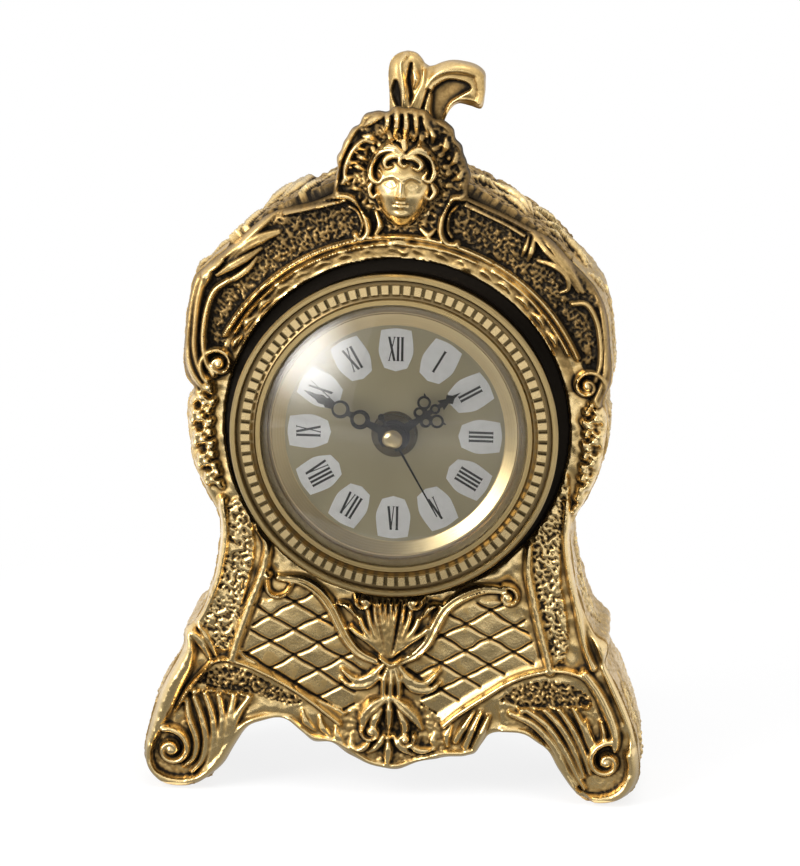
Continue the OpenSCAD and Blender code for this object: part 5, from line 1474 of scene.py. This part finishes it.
for hour, word in enumerate(WORDS):
    turn = math.radians(-30 * hour)
    flip = -1 if 4 <= hour <= 8 else 1
    widths = [LETTERS[c][0] for c in word]
    squeeze = min(1.0, ROOM / sum(widths))
    x = -sum(widths) * squeeze / 2
    for c, w in zip(word, widths):
        for p, q, thick in LETTERS[c][1]:
            width = thick * (squeeze if thick > SERIF else 1)
            shape = bar((p[0] * squeeze, p[1] * LETTER), (q[0] * squeeze, q[1] * LETTER), width)
            base = len(corners)
            for y in (DIAL_Y - 0.2 - INK, DIAL_Y - 0.15):
                for u, v in shape:
                    u, v = (u + x + w * squeeze / 2) * flip, v * flip + MIDDLE_R
                    across = u * math.cos(turn) - v * math.sin(turn)
                    up = u * math.sin(turn) + v * math.cos(turn)
                    corners.append((across, y, DIAL_Z + up))
            quads += [[base + i for i in side] for side in SIDES]
        x += w * squeeze
numerals = bpy.data.objects.new("numerals", bpy.data.meshes.new("numerals"))
numerals.data.from_pydata([Vector(p) / 1000 for p in corners], [], quads)
bpy.context.collection.objects.link(numerals)
only(numerals)
bpy.ops.object.mode_set(mode="EDIT")
bpy.ops.mesh.select_all(action="SELECT")
bpy.ops.mesh.normals_make_consistent(inside=False)
bpy.ops.object.mode_set(mode="OBJECT")
print("numerals:", len(quads) // 6, "strokes")

# %% [markdown]
# ## Cast brass with age and painted shade
# Old brass is bright where hands and cloths reach and nearly black where they don't. The finish
# starts from the hollow attribute, whose dark is patina and also painted shade in the hollows, adds
# tone where a field was lacquered and painted shade in the channel round the bezel, and breaks both
# up with noise. Bright metal is smooth, the dark skin over it is dull and hardly metallic.

# %% Cast brass
# Colours from bright brass to near black: the dark end is patina and also painted shade in the hollows.
PATINA_AND_SHADE = [(0.0, (0.92, 0.69, 0.33)), (0.22, (0.74, 0.51, 0.205)), (0.5, (0.30, 0.19, 0.070)),
          (0.8, (0.050, 0.034, 0.015)), (1.0, (0.012, 0.008, 0.004))]


def cast_brass(name, carved=True):
    f = Finish(name)
    fine, cloud = f.noise(1400, 3), f.noise(70, 4)
    if carved:
        hollow, toned = f.attribute("hollow"), f.attribute("toned")
    else:
        hollow, toned = f.noise(220, 3) * 0.25, f.noise(60, 2) * 0.12
    # Dirt and patina, with painted shade in the hollows and in the channel round the bezel; on plain pieces
    # only noise.
    grime_and_shade = (hollow * 1.2 + toned * 0.6 + (cloud - 0.5) * 0.5 + (fine - 0.5) * 0.3 + 0.04).clamp()
    rough = 0.24 + grime_and_shade * 0.42 + (fine - 0.5) * 0.12
    f.set(Base_Color=f.ramp(grime_and_shade, PATINA_AND_SHADE), Roughness=rough.clamp(0.12, 0.9),
          Metallic=(1.06 - grime_and_shade * 0.35).clamp(), Coat_Weight=(0.5 - grime_and_shade).clamp(),
          Normal=f.bump(fine * 0.6 + cloud * 0.4, 0.35, 0.0002))
    return f.material


carved_brass = cast_brass("cast_brass_carved")
plain_brass = cast_brass("cast_brass_plain", carved=False)
for o in brass_pieces:
    o.data.materials.append(carved_brass)
for o in [stud] + [o for o, _ in lugs]:
    o.data.materials.append(plain_brass)
print("brass on", len(brass_pieces) + 1 + len(lugs), "pieces")

# %% [markdown]
# ## The insert's finishes
# The bezel is turned and lacquered satin gold, so its fine grooves run round the dial's axis.
# The gaps between the beads are painted dark as shade, and so is the bezel's side wall in the channel.
# The dial is champagne with a faint grain, and its plaques are glazed.

# %% Turned gold
BEADS = 86.0


def axis_distance(f):
    """Distance from the dial's axis, in millimetres, the angle round it and y in metres."""
    x, y, z = f.parts()
    z = z - DIAL_Z / 1000
    return (x * x + z * z).math("SQRT") * 1000, z.math("ARCTAN2", x), y


def zone(r, low, high, soft=0.15):
    return r.above(low, soft) * (1 - r.above(high, soft))


def turned_gold(name, base, deep, rough, grooves=9.0, dark_zones=(), painted_shade_behind=None):
    f = Finish(name, Metallic=1.0)
    r, angle, y = axis_distance(f)
    rings = (r * grooves).math("SINE") * 0.5 + 0.5
    cloud = f.noise(45, 4)
    tint = f.mix((cloud * 0.7 + rings * 0.3).clamp(), deep, base)
    for low, high, shade in dark_zones:
        tint = f.mix(zone(r, low, high) * 0.92, tint, shade)
    # Painted shade: behind that depth the bezel's outer side wall is coloured nearly black, like the shade
    # down in the channel.
    if painted_shade_behind:
        behind = (y * 1000 - painted_shade_behind).above(0, 0.6)
        tint = f.mix(behind * r.above(42.4, 0.2), tint, (0.045, 0.032, 0.015))
    f.set(Base_Color=tint, Roughness=rough + cloud * 0.12 + rings * 0.05,
          Normal=f.bump(rings, 0.12, 0.00005))
    return f.material


gold = turned_gold("satin_gold_bezel", (0.48, 0.36, 0.17), (0.33, 0.24, 0.105), 0.22,
                   dark_zones=((38.2, 39.4, (0.24, 0.17, 0.08)), (42.0, 43.0, (0.20, 0.14, 0.065))),
                   painted_shade_behind=SIDE_Y)
bead_gold = Finish("bead_gold", Metallic=1.0)
r, angle, y = axis_distance(bead_gold)
# Painted shade: the gaps between the beads are coloured dark.
shade_in_gap = ((angle * BEADS).math("COSINE") - 0.1).above(0.0, 0.5)
bead_cloud = bead_gold.noise(300, 3)
bead_gold.set(Base_Color=bead_gold.mix(shade_in_gap, (0.62, 0.47, 0.24), (0.11, 0.078, 0.034)),
              Roughness=0.2 + bead_cloud * 0.16, Normal=bead_gold.bump(bead_cloud, 0.2, 0.0001))
cream = turned_gold("reflector_cream", (0.88, 0.71, 0.39), (0.74, 0.56, 0.28), 0.24,
                    dark_zones=((33.9, 35.2, (0.36, 0.26, 0.13)),))
wear("bezel", gold)
wear("beaded_ring", bead_gold.material)
wear("reflector_ring", cream)
wear("second_cap", turned_gold("cap_gold", (0.74, 0.60, 0.34), (0.6, 0.46, 0.24), 0.18, 20))
print("bezel dressed")

# %% Plain finishes in one helper
def speckled(name, dark_tone, light_tone, scale, rough, bump, stretch=None, **constants):
    f = Finish(name, **constants)
    n = f.noise(scale, 4, stretch=stretch)
    wide = f.noise(40, 2)
    f.set(Base_Color=f.ramp((n * 0.6 + wide * 0.4), [(0.3, dark_tone), (0.7, light_tone)]),
          Roughness=(n - 0.5) * 0.2 + rough, Normal=f.bump(n, bump, 0.0001))
    return f.material


def grained(f, grain, stops, rough, change, bump=None, tone=None):
    """Sets a finish from one pattern: its colours, how dull it is and, if asked, its relief.
    The colours may follow another pattern, given as tone."""
    sockets = {"Base_Color": f.ramp(tone or grain, stops), "Roughness": rough + grain * change}
    if bump:
        sockets["Normal"] = f.bump(grain, bump, 0.0001)
    return f.set(**sockets)


# %% Dial, plaques, hands and glass
dial = Finish("champagne_dial", Metallic=0.55)
silk, cloud = dial.noise(120, 4, stretch=(14, 1, 1)), dial.noise(28, 2)
champagne = [(0.3, (0.37, 0.315, 0.185)), (0.7, (0.49, 0.425, 0.265))]
wear("dial_plate", grained(dial, silk, champagne, 0.34, 0.16, 0.06, tone=cloud))
glaze = Finish("plaque_glaze", Coat_Weight=0.4)
china = [(0.3, (0.80, 0.79, 0.76)), (0.7, (0.87, 0.86, 0.84))]
wear("chapter_plaques", grained(glaze, glaze.noise(600, 3), china, 0.3, 0.12, 0.08))
ink = Finish("numeral_ink")
ink_black = [(0, (0.012, 0.011, 0.010)), (1, (0.03, 0.027, 0.025))]
numerals.data.materials.append(grained(ink, ink.noise(900, 2), ink_black, 0.4, 0.15))
lacquer = Finish("hand_lacquer", Specular_IOR_Level=0.2)
hand_black = [(0, (0.006, 0.005, 0.004)), (1, (0.018, 0.014, 0.011))]
black = grained(lacquer, lacquer.noise(500, 3), hand_black, 0.22, 0.15, 0.08)
for n in ("hour_hand", "minute_hand", "second_hand"):
    wear(n, black)
# Painted shadow: the washer and the nut under the hands are coloured dark brown as the shadow round the
# hub.
washer_shadow = speckled("washer_painted_shadow", (0.06, 0.045, 0.020), (0.15, 0.115, 0.055), 500, 0.4, 0.2, Metallic=0.8)
for n in ("brass_washer", "bushing_nut"):
    wear(n, washer_shadow)
brushed = Finish("brushed_washer", Metallic=1.0)
plate_brass = [(0.3, (0.36, 0.27, 0.13)), (0.7, (0.70, 0.56, 0.32))]
rolled = brushed.noise(250, 4, stretch=(9, 1, 1))
wear("train_plate", grained(brushed, rolled, plate_brass, 0.25, 0.2, 0.25))
glass = Finish("domed_glass", Transmission_Weight=1.0, IOR=1.5, Specular_IOR_Level=0.6)
smear = glass.noise(35, 3)
glass.set(Roughness=(smear - 0.45) * 0.06,
          Base_Color=glass.ramp(smear, [(0, (0.97, 0.98, 0.98)), (1, (1, 1, 1))]))
wear("lens", glass.material)
print("dial dressed")

# %% [markdown]
# ## The movement's finishes
# Behind the dial sit moulded plastic, rubber, steel and copper. Each has its own small irregularity:
# moulded plastic is spark-eroded, rubber is dull and dusty, rolled steel has a grain.

# %% Dress the movement
black_plastic = speckled("moulded_black", (0.012, 0.012, 0.013), (0.028, 0.028, 0.03), 2600, 0.5, 0.4)
rubber = speckled("black_rubber", (0.012, 0.012, 0.012), (0.03, 0.029, 0.028), 900, 0.78, 0.3)
amber = speckled("amber_gasket", (0.30, 0.22, 0.11), (0.42, 0.32, 0.17), 900, 0.4, 0.1)
steel = speckled("zinc_steel", (0.44, 0.44, 0.45), (0.62, 0.62, 0.63), 700, 0.3, 0.1, Metallic=1.0)
core = speckled("core_steel", (0.25, 0.25, 0.26), (0.40, 0.40, 0.42), 500, 0.42, 0.2, (1, 1, 12),
                Metallic=1.0)
acetal = speckled("acetal", (0.66, 0.63, 0.54), (0.78, 0.76, 0.69), 400, 0.34, 0.06)
magnet = speckled("sintered_magnet", (0.06, 0.06, 0.065), (0.14, 0.14, 0.15), 1500, 0.55, 0.4, Metallic=0.6)
board = speckled("green_board", (0.012, 0.09, 0.035), (0.02, 0.15, 0.06), 700, 0.35, 0.1)
resin = speckled("chip_resin", (0.01, 0.01, 0.01), (0.02, 0.02, 0.022), 600, 0.25, 0.1)
wire = Finish("copper_wire", Metallic=1.0)
turns = (wire.parts()[0] * 25000).math("SINE") * 0.5 + 0.5
wire.set(Base_Color=wire.mix(turns, (0.20, 0.06, 0.02), (0.62, 0.24, 0.10)),
         Roughness=0.3 + turns * 0.1, Normal=wire.bump(turns, 0.6, 0.0001))
jacket = Finish("cell_jacket")
end_band = (((jacket.parts()[0] * 1000 + 0.5) - 8.0) / 0.2).clamp()
foil = jacket.noise(90, 3)
jacket.set(Base_Color=jacket.mix(end_band, (0.03, 0.035, 0.05), (0.42, 0.40, 0.37)),
           Roughness=0.25 + foil * 0.15, Normal=jacket.bump(foil, 0.05, 0.0002))
DRESS = [
    (black_plastic, "dial_cup front_housing rear_housing setting_knob"),
    (rubber, "grip_band rubber_washer"),
    (amber, "lens_gasket"),
    (steel, "crest_nut case_screws positive_contact negative_contact quartz_can"),
    (core, "stator"),
    (acetal, "hour_wheel cannon_pinion minute_wheel seconds_wheel third_wheel centre_wheel"),
    (acetal, "intermediate_wheel rotor_pinion coil_bobbin"),
    (magnet, "rotor_magnet"),
    (wire.material, "coil_winding"),
    (board, "circuit_board"),
    (resin, "chip_blob"),
    (jacket.material, "battery"),
]
for material, names in DRESS:
    for n in names.split():
        wear(n, material)
print("movement dressed; nodes:", sorted(nodes))

# %% [markdown]
# ## Which body carries which piece
# Every new piece rides on the case. The carved pieces stand for the plain castings of the frame.

# %% Ride, replace and finish
for o in brass_pieces + [stud] + [o for o, _ in lugs]:
    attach(o, "case")
for o in (upper_piece, lower_piece, head_piece):
    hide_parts("front_casting")
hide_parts("left_flank")
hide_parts("right_flank")
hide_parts("roof_band")
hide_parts("crest_finial")
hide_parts("crest_finial")
for o, k in lugs:
    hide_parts("roof_band" if k == 3 else ("left_flank" if o.name.endswith("l") else "right_flank"))
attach(numerals, "case")
bpy.context.scene.view_settings.view_transform = "Standard"
